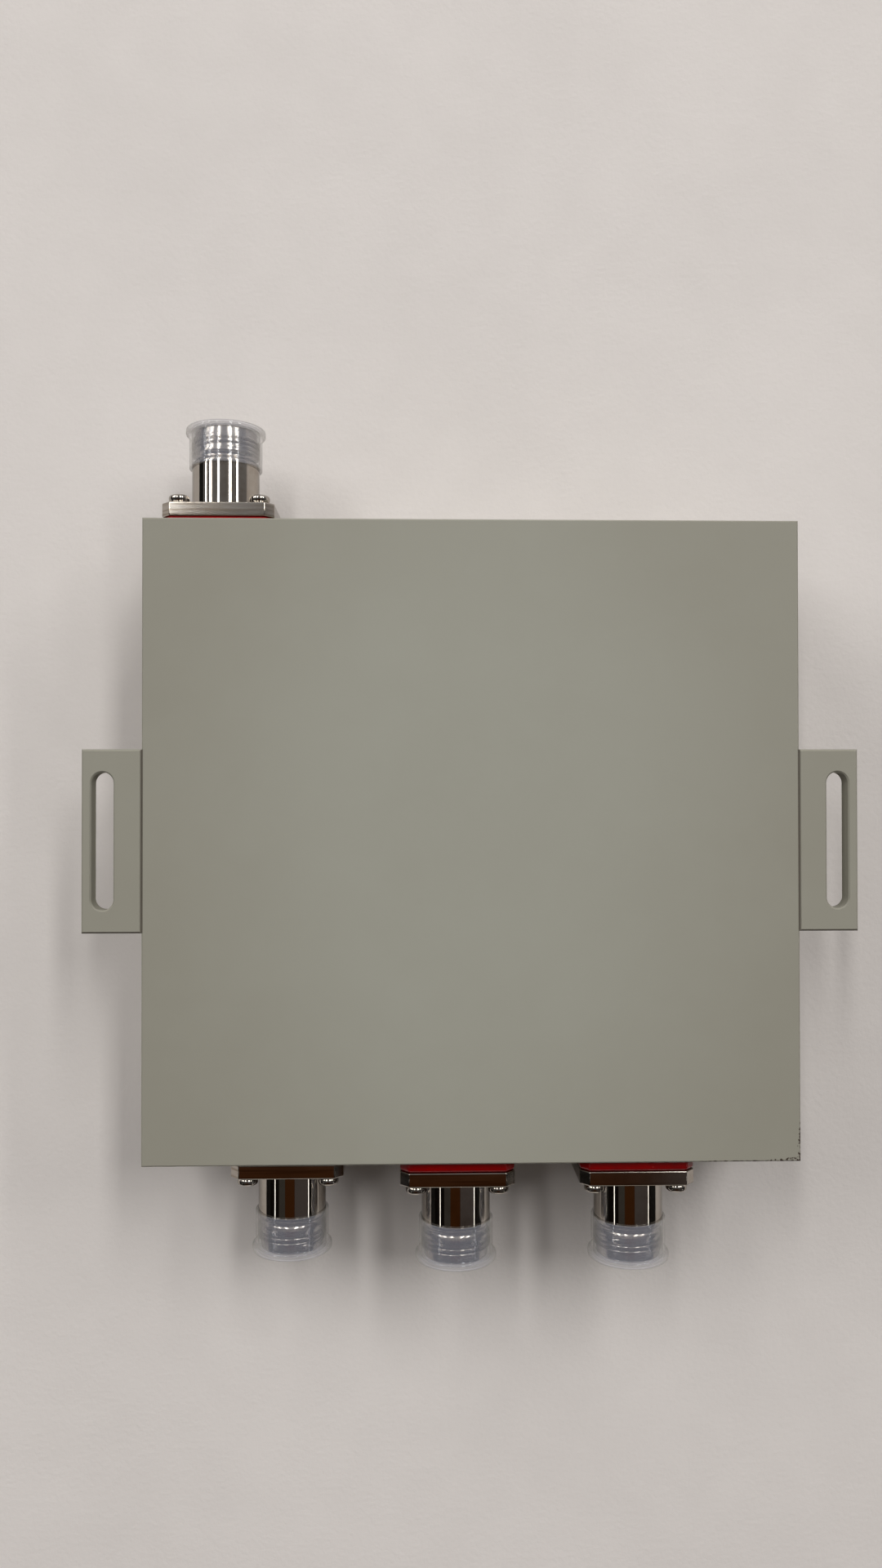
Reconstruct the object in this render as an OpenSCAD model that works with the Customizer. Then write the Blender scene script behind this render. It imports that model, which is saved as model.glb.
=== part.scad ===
// Three-band antenna combiner (triplexer) lying on its front cover, plain back face up.
// A milled cavity housing holds three rows of resonator posts under a tuning lid.
// Four flanged coaxial ports leave through the two end walls, each under a push-on dust cap.
// X runs across the housing, Y along the ports and Z up. The front cover stands on z = 0.

/* [Housing] */
// Width of the housing, without the mounting ears
body_w = 144; // [138:1:170]
// Length of the housing along the ports
body_l = 141; // [134:1:170]
// Height from the front cover to the plain back face
body_h = 40; // [39.5:0.5:55]
// Thickness of the plain back wall
floor_t = 5; // [4.6:0.1:6]
// Thickness of the rim round the lid pocket
rim_t = 6; // [5.6:0.1:7]
// Width of the ledge under the lid's edge
ledge_w = 5; // [4.8:0.1:6]
// Thickness of the walls between the bands
partition_t = 5; // [4.5:0.1:7]
// Cutter radius in the pocket corners
pocket_r = 3; // [2:0.5:4]
// Chamfer round the back face and round the cover
edge_break = 0.3; // [0.1:0.05:0.6]

/* [Cover and lid] */
// Thickness of the front cover
cover_t = 2; // [1.9:0.1:3]
// Thickness of the flat seal under the cover
seal_t = 1; // [0.8:0.1:2]
// Room for nuts between the lid and the seal
nut_space = 5; // [4.6:0.1:8]
// Thickness of the tuning lid
lid_t = 3; // [2:0.1:4]
// Gap round the lid in its pocket
lid_gap = 0.15; // [0.1:0.05:0.4]
// Cover screws along X, on each side
cover_nx = 4; // [3:1:6]
// Cover screws along Y between the corners, on each side
cover_ny = 2; // [1:1:4]
// Lid screws along X, on each side
lid_nx = 5; // [3:1:5]
// Lid screws along Y between the corners, on each side
lid_ny = 3; // [1:1:4]
// Lid screws on each partition
partition_n = 3; // [2:1:4]

/* [Bands] */
// Posts in each band
post_n = 4; // [2:1:4]
// Distance between posts along a band
post_pitch = 24; // [20:0.5:25]
// Last post's distance from the end wall
post_end = 15.5; // [13:0.5:18]
// Diameter of a post
post_d = 12; // [10:0.5:14]
// Bore of a post
post_bore = 8; // [6.5:0.1:9]
// Thickness of a post's foot
post_foot = 4; // [3:0.5:6]
// Diameter of the hat at a post's open end
hat_d = 14; // [12:0.5:16]
// Thickness of the hat
hat_t = 1.5; // [1:0.1:3]
// Gap between a post and the lid
post_gap = 1.5; // [1:0.1:3]
// Width of the corridor for the common line
corridor_w = 18; // [14:0.5:20]

/* [Tuning] */
// Diameter of a tuning screw
tune_d = 5; // [4:0.5:6]
// Length of a tuning screw
tune_l = 16; // [12:0.5:18]
// Tuning screw's length past its nut
tune_out = 1.4; // [0.8:0.1:1.6]
// Width of the driver slot
slot_cut = 0.9; // [0.6:0.1:1.2]
// Depth of the driver slot
slot_deep = 1.2; // [0.8:0.1:1.5]
// Lock nut across the flats
nut_af = 8; // [7:0.5:9]
// Lock nut thickness
nut_t = 2.7; // [2:0.1:3]
// Radial play of a tuning screw
tune_play = 0.05; // [0.02:0.01:0.1]

/* [Ports] */
// Shared port's axis from the left wall, on the upper side
common_in = 14.8; // [14.5:0.1:17]
// Low band port's axis from the left wall
low_in = 30.5; // [29:0.1:32]
// Mid band port's axis from the middle
mid_x = -3.3; // [-5:0.1:0]
// High band port's axis from the right wall
high_in = 35.5; // [32:0.1:38]
// Axis below the back face, shared and low ports
deep_axis = 21; // [20:0.1:21.5]
// Axis below the back face, mid and high ports
shallow_axis = 14.5; // [13.5:0.1:17]

/* [Connectors] */
// Flange side
flange_w = 25.4; // [24:0.1:27]
// Flange thickness
flange_t = 3.2; // [2.5:0.1:4]
// Corner chamfer of flange and gasket
flange_corner = 2; // [0.5:0.1:2.2]
// Distance between the flange screws
hole_pitch = 18.28; // [17.5:0.01:18.6]
// Gasket thickness
gasket_t = 2.5; // [1.5:0.1:3.5]
// Diameter of the shell's spigot inside the gasket
spigot_d = 11.9; // [10.5:0.1:13]
// Diameter of the smooth barrel
barrel_d = 15.7; // [15.2:0.05:15.8]
// Diameter over the coupling thread
thread_d = 15.88; // [15.8:0.01:16]
// Length of the barrel past the flange
barrel_l = 19.3; // [18:0.1:22]
// Length of the plain nose past the thread
nose_l = 1.8; // [1.4:0.1:3]
// Diameter of the nose
nose_d = 14.6; // [14:0.1:15]
// Length of the coupling thread
thread_l = 3.6; // [3:0.1:5]
// Length of the relief behind the thread
relief_l = 2.3; // [1.5:0.1:3]
// Diameter of the relief
relief_d = 14.2; // [13.5:0.1:14.6]
// Length of the slope from the smooth barrel into the relief
relief_slope = 0.6; // [0.3:0.05:0.8]
// How far the relief rises again towards the thread
relief_rise = 0.5; // [0.2:0.05:0.6]
// Chamfer at the barrel's end
barrel_chamfer = 0.5; // [0.2:0.1:0.8]
// Bore at the mouth
mouth_d = 8.03; // [7.9:0.01:8.2]
// Depth of the mouth to the mating face
mouth_deep = 9.1; // [8.5:0.1:10]
// Bore behind the mating face
line_d = 7; // [6.8:0.05:7.5]
// Insulator diameter
insulator_d = 8.6; // [8:0.1:9]
// Insulator's reach past the flange face
insulator_out = 5.8; // [4:0.1:7]
// Insulator's reach past the end wall, inside
insulator_in = 1; // [0.5:0.1:2]

/* [Contacts] */
// Diameter of the contact socket
socket_d = 3.04; // [2.9:0.01:3.2]
// Bore of the contact socket
socket_bore = 1.68; // [1.6:0.01:1.8]
// Depth of the socket's bore
socket_deep = 6; // [5:0.1:7]
// Socket's tip behind the barrel's end
socket_back = 4.1; // [3.5:0.1:5]
// Width of the slits between the socket's fingers
slit_w = 0.25; // [0.15:0.05:0.3]
// Length of the slits
slit_l = 5; // [3:0.1:5.5]
// Diameter of the contact inside the insulator
contact_d = 2.6; // [2.2:0.1:2.8]
// Contact's reach past the insulator, inside
contact_in = 3; // [2.5:0.1:4]
// Depth of the solder cup
cup_deep = 2; // [1.5:0.1:2.5]
// Diameter of the tap wires
wire_d = 1.3; // [1:0.1:1.6]
// Diameter of the common line
line_rod_d = 4; // [3:0.5:5]

/* [Dust caps] */
// Length of a cap
cap_l = 9.4; // [8:0.1:12]
// Wall of a cap
cap_wall = 0.5; // [0.4:0.05:1]
// Radial play of a cap on the thread
cap_play = 0.08; // [0.05:0.01:0.1]
// Thickness of the closed end
cap_end_t = 0.55; // [0.4:0.05:1.5]
// Gap between the closed end and the barrel
cap_gap = 0.1; // [0.1:0.05:0.6]
// Diameter of the brim
brim_d = 18.6; // [18.2:0.1:21]
// Thickness of the brim
brim_t = 1.6; // [1:0.1:3]
// Rounding of the brim's edges
brim_r = 0.45; // [0.2:0.05:0.45]
// Flare between the wall and the brim
brim_flare = 0.25; // [0.1:0.05:0.3]

/* [Brackets] */
// Ear's reach past the side wall
ear_w = 13; // [11.5:0.5:20]
// Length of an ear along Y
ear_l = 40; // [36:1:60]
// Thickness of an ear
ear_t = 4; // [3:0.5:5]
// Thickness of the leg on the side wall
leg_t = 4; // [3:0.5:5]
// Height of the leg
leg_h = 20; // [18:0.5:24]
// Slot width
slot_w = 4.8; // [4.2:0.1:6]
// Slot length, end to end
slot_l = 30; // [20:0.5:32]
// Slot's middle from the side wall
slot_out = 8.5; // [8:0.1:9]
// Chamfer round the ear's upper face
ear_break = 0.4; // [0.2:0.05:0.8]
// Chamfer round the slot's upper edge
slot_break = 0.3; // [0.1:0.05:0.5]
// Fillet between ear and leg
ear_fillet = 1; // [0.5:0.1:2]
// Distance between the bracket screws
leg_pitch = 24; // [16:1:30]
// Bracket screws below the back face
leg_drop = 12; // [10:0.5:14]

/* [Fasteners] */
// Small screw shank, for flanges, lid and cover
screw_d = 2.5; // [2:0.1:3]
// Pan head diameter
pan_d = 4.7; // [4:0.1:4.8]
// Pan head height
pan_h = 2.1; // [1.5:0.1:2.3]
// Height of a pan head's upright rim
pan_rim = 0.6; // [0.5:0.1:1.3]
// Countersunk head diameter, cover screws
flat_d = 4.7; // [4:0.1:5]
// Small screw's hold in the housing
screw_hold = 4.2; // [3:0.1:4.5]
// Post screw shank
post_screw_d = 3; // [2.5:0.1:3]
// Post screw head diameter
post_head_d = 5.5; // [5:0.1:6]
// Post screw head height
post_head_h = 3; // [2:0.1:3]
// Post screw's hold in the back wall
post_hold = 3; // [2:0.1:3.4]
// Bracket screw shank
leg_screw_d = 4; // [3:0.1:5]
// Bracket screw head diameter
leg_head_d = 7.5; // [6:0.1:8]
// Bracket screw's hold in the side wall
leg_hold = 4.5; // [3:0.1:5]
// Radial play of a screw in its tapped hole
tap_play = 0.05; // [0.03:0.01:0.1]
// Radial play of a screw in a clearance hole
hole_play = 0.2; // [0.1:0.05:0.4]
// Depth of a tapped hole past its screw's tip
tap_extra = 0.4; // [0.2:0.1:0.6]
// Play between parts that slide together
slip = 0.05; // [0.03:0.01:0.1]

/* [Hidden] */
PORTS = ["common", "low", "mid", "high"];
BANDS = ["low", "mid", "high"];
round_fn = 64;
small_fn = 32;
eps = 0.01;

// Heights, from the cover up to the back face
z_seal = cover_t;
z_rim = z_seal + seal_t;
z_lid = z_rim + nut_space;
z_ledge = z_lid + lid_t;
z_floor = body_h - floor_t;
wall_t = rim_t + ledge_w;
inner_w = body_w - 2 * wall_t;
inner_l = body_l - 2 * wall_t;
pocket_w = body_w - 2 * rim_t;
pocket_l = body_l - 2 * rim_t;

// Ports, in the order of PORTS: place, side of the housing and height of the axis
common_x = common_in - body_w / 2;
low_x = low_in - body_w / 2;
high_x = body_w / 2 - high_in;
port_x = [common_x, low_x, mid_x, high_x];
port_side = [1, -1, -1, -1];
port_z = [body_h - deep_axis, body_h - deep_axis, body_h - shallow_axis, body_h - shallow_axis];
port_y = body_l / 2;

// Bands, in the order of BANDS: each row of posts stands on its port's axis
band_x = [low_x, mid_x, high_x];
partition_x = [(low_x + mid_x) / 2, (mid_x + high_x) / 2];
band_left = [-inner_w / 2, partition_x[0] + partition_t / 2, partition_x[1] + partition_t / 2];
band_right = [partition_x[0] - partition_t / 2, partition_x[1] - partition_t / 2, inner_w / 2];
corridor_y = inner_l / 2 - corridor_w;
line_y = inner_l / 2 - corridor_w / 2;
post_h = z_floor - z_ledge - post_gap;
function post_y(i) = -inner_l / 2 + post_end + (i - 1) * post_pitch;

// Connector lengths, measured outwards from the end wall
flange_face = gasket_t + flange_t;
barrel_end = flange_face + barrel_l;
thread_end = barrel_end - nose_l;
thread_start = thread_end - thread_l;
shoulder = thread_start - relief_l;
mating_face = barrel_end - mouth_deep;
socket_tip = barrel_end - socket_back;
insulator_face = flange_face + insulator_out;
insulator_rear = -(wall_t + insulator_in);
contact_rear = insulator_rear - contact_in;
cup_d = wire_d + 2 * slip;
cap_bore = thread_d + 2 * cap_play;
cap_d = cap_bore + 2 * cap_wall;
cap_inside = barrel_end + cap_gap;
cap_outside = cap_inside + cap_end_t;
cap_rim = cap_outside - cap_l;
tap_hole = wire_d + 2 * slip;
port_bore = insulator_d + 2 * hole_play;

// Fastener sizes that follow from others
flat_h = (flat_d - screw_d) / 2;
leg_head_h = (leg_head_d - leg_screw_d) / 2;
small_tap = screw_d + 2 * tap_play;
small_hole = screw_d + 2 * hole_play;
tune_hole = tune_d + 2 * tune_play;

paint = [0.57, 0.56, 0.51];
plating = [0.80, 0.79, 0.76];
silver = [0.86, 0.86, 0.84];
brass = [0.78, 0.66, 0.36];
silicone = [0.55, 0.03, 0.03];
milky = [0.86, 0.86, 0.86, 0.55];
white_plastic = [0.94, 0.94, 0.92];
steel = [0.70, 0.70, 0.70];

// Block with upright rounded corners, centred in X and Y, standing on z = 0
module rounded_block(w, l, h, r) {
    translate([-w / 2 + r, -l / 2, 0]) cube([w - 2 * r, l, h]);
    translate([-w / 2, -l / 2 + r, 0]) cube([w, l - 2 * r, h]);
    for (x = [-1, 1], y = [-1, 1])
        translate([x * (w / 2 - r), y * (l / 2 - r), 0]) cylinder(h = h, r = r, $fn = small_fn);
}

// Bars that cut a 45 degree chamfer round the upper edges of a block standing below z = 0
module edge_bars(w, l, c) {
    side = c * sqrt(2);
    for (s = [-1, 1]) {
        translate([s * w / 2, 0, 0]) rotate([0, 45, 0]) cube([side, l + side, side], center = true);
        translate([0, s * l / 2, 0]) rotate([45, 0, 0]) cube([w + side, side, side], center = true);
    }
}

// Places of the screws round an edge: nx along each X side, ny between them along each Y side
function edge_places(w, l, nx, ny) = concat(
    [for (s = [-1, 1], i = [0:nx - 1]) [w * (i / (nx - 1) - 0.5), s * l / 2]],
    [for (s = [-1, 1], i = [1:ny]) [s * w / 2, l * (i / (ny + 1) - 0.5)]]
);
cover_places = edge_places(body_w - rim_t, body_l - rim_t, cover_nx, cover_ny);
// Lid screws stand in the middle of the ledge, or as far in as the pocket's round corners need
corner_room = pocket_r - pan_d / 2 - slip;
lid_in = max(ledge_w / 2, pocket_r - corner_room / sqrt(2));
lid_edge_places = edge_places(pocket_w - 2 * lid_in, pocket_l - 2 * lid_in, lid_nx, lid_ny);
partition_l = corridor_y + inner_l / 2;
lid_places = concat(
    lid_edge_places,
    [for (x = partition_x, i = [1:partition_n]) [x, corridor_y - partition_l * (i - 0.5) / partition_n]]
);

// Moves a connector piece, drawn along +Z from the end wall, to port i
module at_port(i) {
    translate([port_x[i], port_side[i] * port_y, port_z[i]]) rotate([-90 * port_side[i], 0, 0]) children();
}

// The four screw places of a flange
module at_flange_holes() {
    for (x = [-1, 1], y = [-1, 1]) translate([x * hole_pitch / 2, y * hole_pitch / 2, 0]) children();
}

// Places of every post, on the floor of its band
module at_posts() {
    for (b = [0:2], i = [1:post_n]) translate([band_x[b], post_y(i), 0]) children();
}

// Square outline with chamfered corners
module flange_outline() {
    h = flange_w / 2;
    k = h - flange_corner;
    polygon([[k, -h], [h, -k], [h, k], [k, h], [-k, h], [-h, k], [-h, -k], [-k, -h]]);
}

// Pan-head screw with its seat at z = 0 and its shank along -Z
module pan_screw(length) {
    edge = pan_d / 2;
    crown = pan_h - pan_rim;
    arc = [for (a = [0:15:90]) [edge * cos(a), pan_rim + crown * sin(a)]];
    rotate_extrude($fn = small_fn) polygon(concat([[0, 0], [edge, 0]], arc));
    translate([0, 0, -length]) cylinder(h = length + eps, d = screw_d, $fn = small_fn);
}

// Countersunk screw with its flat head at z = 0 and its shank along +Z
module flat_screw(head, head_h, shank, length) {
    cylinder(h = head_h, d1 = head, d2 = shank, $fn = small_fn);
    cylinder(h = length, d = shank, $fn = small_fn);
}

// Countersink and clearance hole for a flat screw, cut from z = 0 along +Z
module flat_hole(head, head_h, shank, depth) {
    play = 2 * hole_play;
    translate([0, 0, -eps]) cylinder(h = depth + 2 * eps, d = shank + play, $fn = small_fn);
    translate([0, 0, -eps]) cylinder(h = eps + slip, d = head + 2 * slip, $fn = small_fn);
    translate([0, 0, slip]) cylinder(h = head_h, d1 = head + 2 * slip, d2 = shank, $fn = small_fn);
}

// Pockets: the lid's, one for each band and the corridor of the common line
module pockets() {
    lid_depth = z_ledge - z_rim + eps;
    translate([0, 0, z_rim - eps]) rounded_block(pocket_w, pocket_l, lid_depth, pocket_r);
    deep = z_floor - z_ledge + eps;
    for (b = [0:2])
        translate([(band_left[b] + band_right[b]) / 2, 0, z_ledge - eps])
            rounded_block(band_right[b] - band_left[b], inner_l, deep, pocket_r);
    translate([0, line_y, z_ledge - eps]) rounded_block(inner_w, corridor_w, deep, pocket_r);
}

// Tapped holes and wall bores of the housing
module housing_holes() {
    hold = screw_hold + tap_extra;
    for (p = cover_places)
        translate([p[0], p[1], z_rim - eps]) cylinder(h = hold + eps, d = small_tap, $fn = small_fn);
    for (p = lid_places)
        translate([p[0], p[1], z_ledge - eps]) cylinder(h = hold + eps, d = small_tap, $fn = small_fn);
    for (i = [0:3])
        at_port(i) {
            translate([0, 0, insulator_rear - hole_play])
                cylinder(h = hole_play - insulator_rear + eps, d = port_bore, $fn = round_fn);
            at_flange_holes()
                translate([0, 0, -hold]) cylinder(h = hold + eps, d = small_tap, $fn = small_fn);
        }
    at_posts()
        translate([0, 0, z_floor - eps])
            cylinder(h = post_hold + tap_extra, d = post_screw_d + 2 * tap_play, $fn = small_fn);
    at_leg_screws()
        translate([0, 0, leg_t - eps])
            cylinder(h = leg_hold + tap_extra, d = leg_screw_d + 2 * tap_play, $fn = small_fn);
}

// Milled housing, open towards the cover
module housing() {
    color(paint) difference() {
        translate([-body_w / 2, -body_l / 2, z_rim]) cube([body_w, body_l, body_h - z_rim]);
        pockets();
        translate([0, 0, body_h]) edge_bars(body_w, body_l, edge_break);
        housing_holes();
    }
}

// Flat outer cover
module front_cover() {
    color(paint) difference() {
        translate([-body_w / 2, -body_l / 2, 0]) cube([body_w, body_l, cover_t]);
        edge_bars(body_w, body_l, edge_break);
        for (p = cover_places)
            translate([p[0], p[1], 0]) flat_hole(flat_d, flat_h, screw_d, cover_t);
    }
}

// Flat seal between the cover and the rim
module cover_seal() {
    color(silicone) difference() {
        translate([-body_w / 2, -body_l / 2, z_seal]) cube([body_w, body_l, seal_t]);
        translate([0, 0, z_seal - eps]) rounded_block(pocket_w, pocket_l, seal_t + 2 * eps, pocket_r);
        for (p = cover_places)
            translate([p[0], p[1], z_seal - eps])
                cylinder(h = seal_t + 2 * eps, d = small_hole, $fn = small_fn);
    }
}

// Countersunk screws that close the cover
module cover_screws() {
    length = cover_t + seal_t + screw_hold - slip;
    color(steel) for (p = cover_places)
        translate([p[0], p[1], slip]) flat_screw(flat_d, flat_h, screw_d, length);
}

// Lid that closes the bands and carries the tuning screws
module tuning_lid() {
    color(silver) difference() {
        translate([0, 0, z_lid])
            rounded_block(pocket_w - 2 * lid_gap, pocket_l - 2 * lid_gap, lid_t, pocket_r);
        at_posts()
            translate([0, 0, z_lid - eps]) cylinder(h = lid_t + 2 * eps, d = tune_hole, $fn = round_fn);
        for (p = lid_places)
            translate([p[0], p[1], z_lid - eps])
                cylinder(h = lid_t + 2 * eps, d = small_hole, $fn = small_fn);
    }
}

// Screws that hold the lid, heads towards the cover
module lid_screws() {
    color(steel) for (p = lid_places)
        translate([p[0], p[1], z_lid]) rotate([180, 0, 0]) pan_screw(lid_t + screw_hold);
}

// One resonator post of band b: a cup on the back wall, its hat just above the lid
module resonator(b, i) {
    tip = z_floor - post_h;
    color(silver) translate([band_x[b], post_y(i), 0]) difference() {
        union() {
            translate([0, 0, tip]) cylinder(h = post_h, d = post_d, $fn = round_fn);
            translate([0, 0, tip]) cylinder(h = hat_t, d = hat_d, $fn = round_fn);
        }
        translate([0, 0, tip - eps]) cylinder(h = post_h - post_foot + eps, d = post_bore, $fn = round_fn);
        translate([0, 0, z_floor - post_foot - eps])
            cylinder(h = post_foot + 2 * eps, d = post_screw_d + 2 * hole_play, $fn = small_fn);
        if (i == 1) tap_bore(-1, port_z[b + 1]);
        if (i == post_n) tap_bore(1, port_z[0]);
    }
}

// Side hole of a post for a tap wire, towards +Y or -Y
module tap_bore(side, z) {
    translate([0, 0, z]) rotate([-90 * side, 0, 0]) cylinder(h = post_d, d = tap_hole, $fn = small_fn);
}

// Screws inside the posts, into the back wall
module resonator_screws() {
    seat = z_floor - post_foot;
    color(steel) at_posts() {
        translate([0, 0, seat - post_head_h]) cylinder(h = post_head_h, d = post_head_d, $fn = small_fn);
        translate([0, 0, seat - eps])
            cylinder(h = post_foot + post_hold, d = post_screw_d, $fn = small_fn);
    }
}

// One tuning screw, slotted at the end towards the cover
module tuning_screw(b, i) {
    bottom = z_lid - nut_t - tune_out;
    color(brass) translate([band_x[b], post_y(i), bottom]) difference() {
        cylinder(h = tune_l, d = tune_d, $fn = round_fn);
        translate([-tune_d, -slot_cut / 2, -eps]) cube([2 * tune_d, slot_cut, slot_deep + eps]);
    }
}

// Lock nuts of the tuning screws, on the lid
module lock_nuts() {
    color(brass) at_posts()
        translate([0, 0, z_lid - nut_t]) difference() {
            cylinder(h = nut_t, d = nut_af / cos(30), $fn = 6);
            translate([0, 0, -eps]) cylinder(h = nut_t + 2 * eps, d = tune_hole, $fn = round_fn);
        }
}

// Rod along the corridor with a stub to the shared port and one to each band's first post
module common_line() {
    z = port_z[0];
    first_x = min(common_x, low_x);
    stub = line_y - post_y(post_n) - post_bore / 2;
    reach = port_y + contact_rear + cup_deep - line_y;
    color(silver) translate([0, line_y, z]) {
        translate([first_x, 0, 0]) rotate([0, 90, 0])
            cylinder(h = high_x - first_x, d = line_rod_d, $fn = small_fn);
        for (x = [first_x, high_x]) translate([x, 0, 0]) sphere(d = line_rod_d, $fn = small_fn);
        for (x = band_x)
            translate([x, 0, 0]) rotate([90, 0, 0]) cylinder(h = stub, d = wire_d, $fn = small_fn);
        translate([common_x, 0, 0]) rotate([-90, 0, 0]) cylinder(h = reach, d = wire_d, $fn = small_fn);
    }
}

// Wire from a band port's solder cup into its last post
module tap_wire(b) {
    start = -port_y - contact_rear - cup_deep;
    length = post_y(1) - post_bore / 2 - start;
    color(silver) translate([band_x[b], start, port_z[b + 1]]) rotate([-90, 0, 0])
        cylinder(h = length, d = wire_d, $fn = small_fn);
}

// Flanged connector body: spigot, flange, smooth barrel, relief, threaded part and nose
module connector_shell(p) {
    c = barrel_chamfer;
    step = (thread_d - nose_d) / 2;
    hollow = shoulder + relief_slope;
    relief = [for (t = [0:0.25:1])
        [relief_d / 2 + relief_rise * pow(t, 2), hollow + t * (thread_start - hollow)]];
    barrel = concat(
        [[0, flange_face - eps], [barrel_d / 2, flange_face - eps], [barrel_d / 2, shoulder]],
        relief,
        [[thread_d / 2, thread_start], [thread_d / 2, thread_end], [nose_d / 2, thread_end + step]],
        [[nose_d / 2, barrel_end - c], [nose_d / 2 - c, barrel_end], [0, barrel_end]]
    );
    color(plating) at_port(p) difference() {
        union() {
            cylinder(h = gasket_t + eps, d = spigot_d, $fn = round_fn);
            translate([0, 0, gasket_t]) linear_extrude(flange_t) flange_outline();
            rotate_extrude($fn = round_fn) polygon(barrel);
        }
        translate([0, 0, -eps])
            cylinder(h = insulator_face + eps, d = insulator_d + 2 * slip, $fn = round_fn);
        cylinder(h = barrel_end, d = line_d, $fn = round_fn);
        translate([0, 0, mating_face]) cylinder(h = mouth_deep + eps, d = mouth_d, $fn = round_fn);
        at_flange_holes() cylinder(h = flange_face + eps, d = small_hole, $fn = small_fn);
    }
}

// White insulator through the shell and the end wall
module insulator(p) {
    length = insulator_face - insulator_rear;
    color(white_plastic) at_port(p) translate([0, 0, insulator_rear]) difference() {
        cylinder(h = length, d = insulator_d, $fn = round_fn);
        translate([0, 0, -eps]) cylinder(h = length + 2 * eps, d = contact_d + 2 * slip, $fn = small_fn);
    }
}

// Contact: slit socket in front, solder cup behind
module contact_pin(p) {
    color(brass) at_port(p) difference() {
        union() {
            translate([0, 0, contact_rear])
                cylinder(h = insulator_face - contact_rear + eps, d = contact_d, $fn = small_fn);
            translate([0, 0, insulator_face])
                cylinder(h = socket_tip - insulator_face, d = socket_d, $fn = small_fn);
        }
        translate([0, 0, socket_tip - socket_deep])
            cylinder(h = socket_deep + eps, d = socket_bore, $fn = small_fn);
        for (a = [0, 90])
            rotate([0, 0, a]) translate([-socket_d, -slit_w / 2, socket_tip - slit_l])
                cube([2 * socket_d, slit_w, slit_l + eps]);
        translate([0, 0, contact_rear - eps]) cylinder(h = cup_deep + eps, d = cup_d, $fn = small_fn);
    }
}

// Thick gasket between the flange and the end wall
module flange_gasket(p) {
    color(silicone) at_port(p) difference() {
        linear_extrude(gasket_t) flange_outline();
        translate([0, 0, -eps]) cylinder(h = gasket_t + 2 * eps, d = spigot_d + 2 * slip, $fn = round_fn);
        at_flange_holes()
            translate([0, 0, -eps]) cylinder(h = gasket_t + 2 * eps, d = small_hole, $fn = small_fn);
    }
}

// Push-on cap: thin wall, wider brim with rounded edges at the closed end
module dust_cap(p) {
    inner = cap_bore / 2;
    outer = cap_d / 2;
    edge = brim_d / 2;
    brim_low = cap_outside - brim_t;
    arc_x = edge - brim_r;
    low_z = brim_low + brim_r;
    high_z = cap_outside - brim_r;
    lower_arc = [for (a = [-90:30:0]) [arc_x + brim_r * cos(a), low_z + brim_r * sin(a)]];
    upper_arc = [for (a = [0:30:90]) [arc_x + brim_r * cos(a), high_z + brim_r * sin(a)]];
    inside = [[0, cap_inside], [inner, cap_inside], [inner, cap_rim]];
    skirt = [[outer, cap_rim], [outer, brim_low - brim_flare], [outer + brim_flare, brim_low]];
    profile = concat(inside, skirt, lower_arc, upper_arc, [[0, cap_outside]]);
    color(milky) at_port(p) rotate_extrude($fn = round_fn) polygon(profile);
}

// Pan-head screws of the four flanges
module flange_screws() {
    color(plating) for (i = [0:3])
        at_port(i) at_flange_holes() translate([0, 0, flange_face]) pan_screw(flange_face + screw_hold);
}

// Places of the bracket screws, drawn from the leg's face towards the housing
module at_leg_screws() {
    for (s = [-1, 1], y = [-1, 1])
        translate([s * (body_w / 2 + leg_t), y * leg_pitch / 2, body_h - leg_drop])
            rotate([0, -90 * s, 0]) children();
}

// Slot of an ear below z = 0, long along Y, with a broken upper edge
module ear_slot() {
    half = (slot_l - slot_w) / 2;
    low = slot_w / 2;
    high = low + slot_break + eps;
    for (y = [-half, half]) translate([0, y, 0]) {
        translate([0, 0, -ear_t - eps]) cylinder(h = ear_t + 2 * eps, r = low, $fn = small_fn);
        translate([0, 0, -slot_break])
            cylinder(h = slot_break + eps, r1 = low, r2 = high, $fn = small_fn);
    }
    translate([-low, -half, -ear_t - eps]) cube([slot_w, 2 * half, ear_t + 2 * eps]);
    translate([0, half, 0]) rotate([90, 0, 0]) linear_extrude(2 * half)
        polygon([[-low, -slot_break], [low, -slot_break], [high, eps], [-high, eps]]);
}

// Angle bracket on one side wall: slotted ear flush with the back face, leg on the wall
module bracket(side) {
    ear_x = body_w / 2;
    r = ear_fillet;
    fillet = [for (a = [180:-15:90]) [leg_t + r + r * cos(a), -ear_t - r + r * sin(a)]];
    profile = concat([[0, 0], [0, -leg_h], [leg_t, -leg_h]], fillet, [[ear_w, -ear_t], [ear_w, 0]]);
    color(paint) difference() {
        translate([side * ear_x, 0, body_h]) mirror([side < 0 ? 1 : 0, 0, 0]) difference() {
            rotate([90, 0, 0]) translate([0, 0, -ear_l / 2]) linear_extrude(ear_l) polygon(profile);
            translate([ear_w / 2, 0, 0]) edge_bars(ear_w, ear_l, ear_break);
            translate([slot_out, 0, 0]) ear_slot();
        }
        at_leg_screws() flat_hole(leg_head_d, leg_head_h, leg_screw_d, leg_t);
    }
}

module left_bracket() {
    bracket(-1);
}

module right_bracket() {
    bracket(1);
}

// Countersunk screws that hold the brackets to the side walls
module bracket_screws() {
    color(steel) at_leg_screws()
        translate([0, 0, slip]) flat_screw(leg_head_d, leg_head_h, leg_screw_d, leg_t + leg_hold - slip);
}

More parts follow.
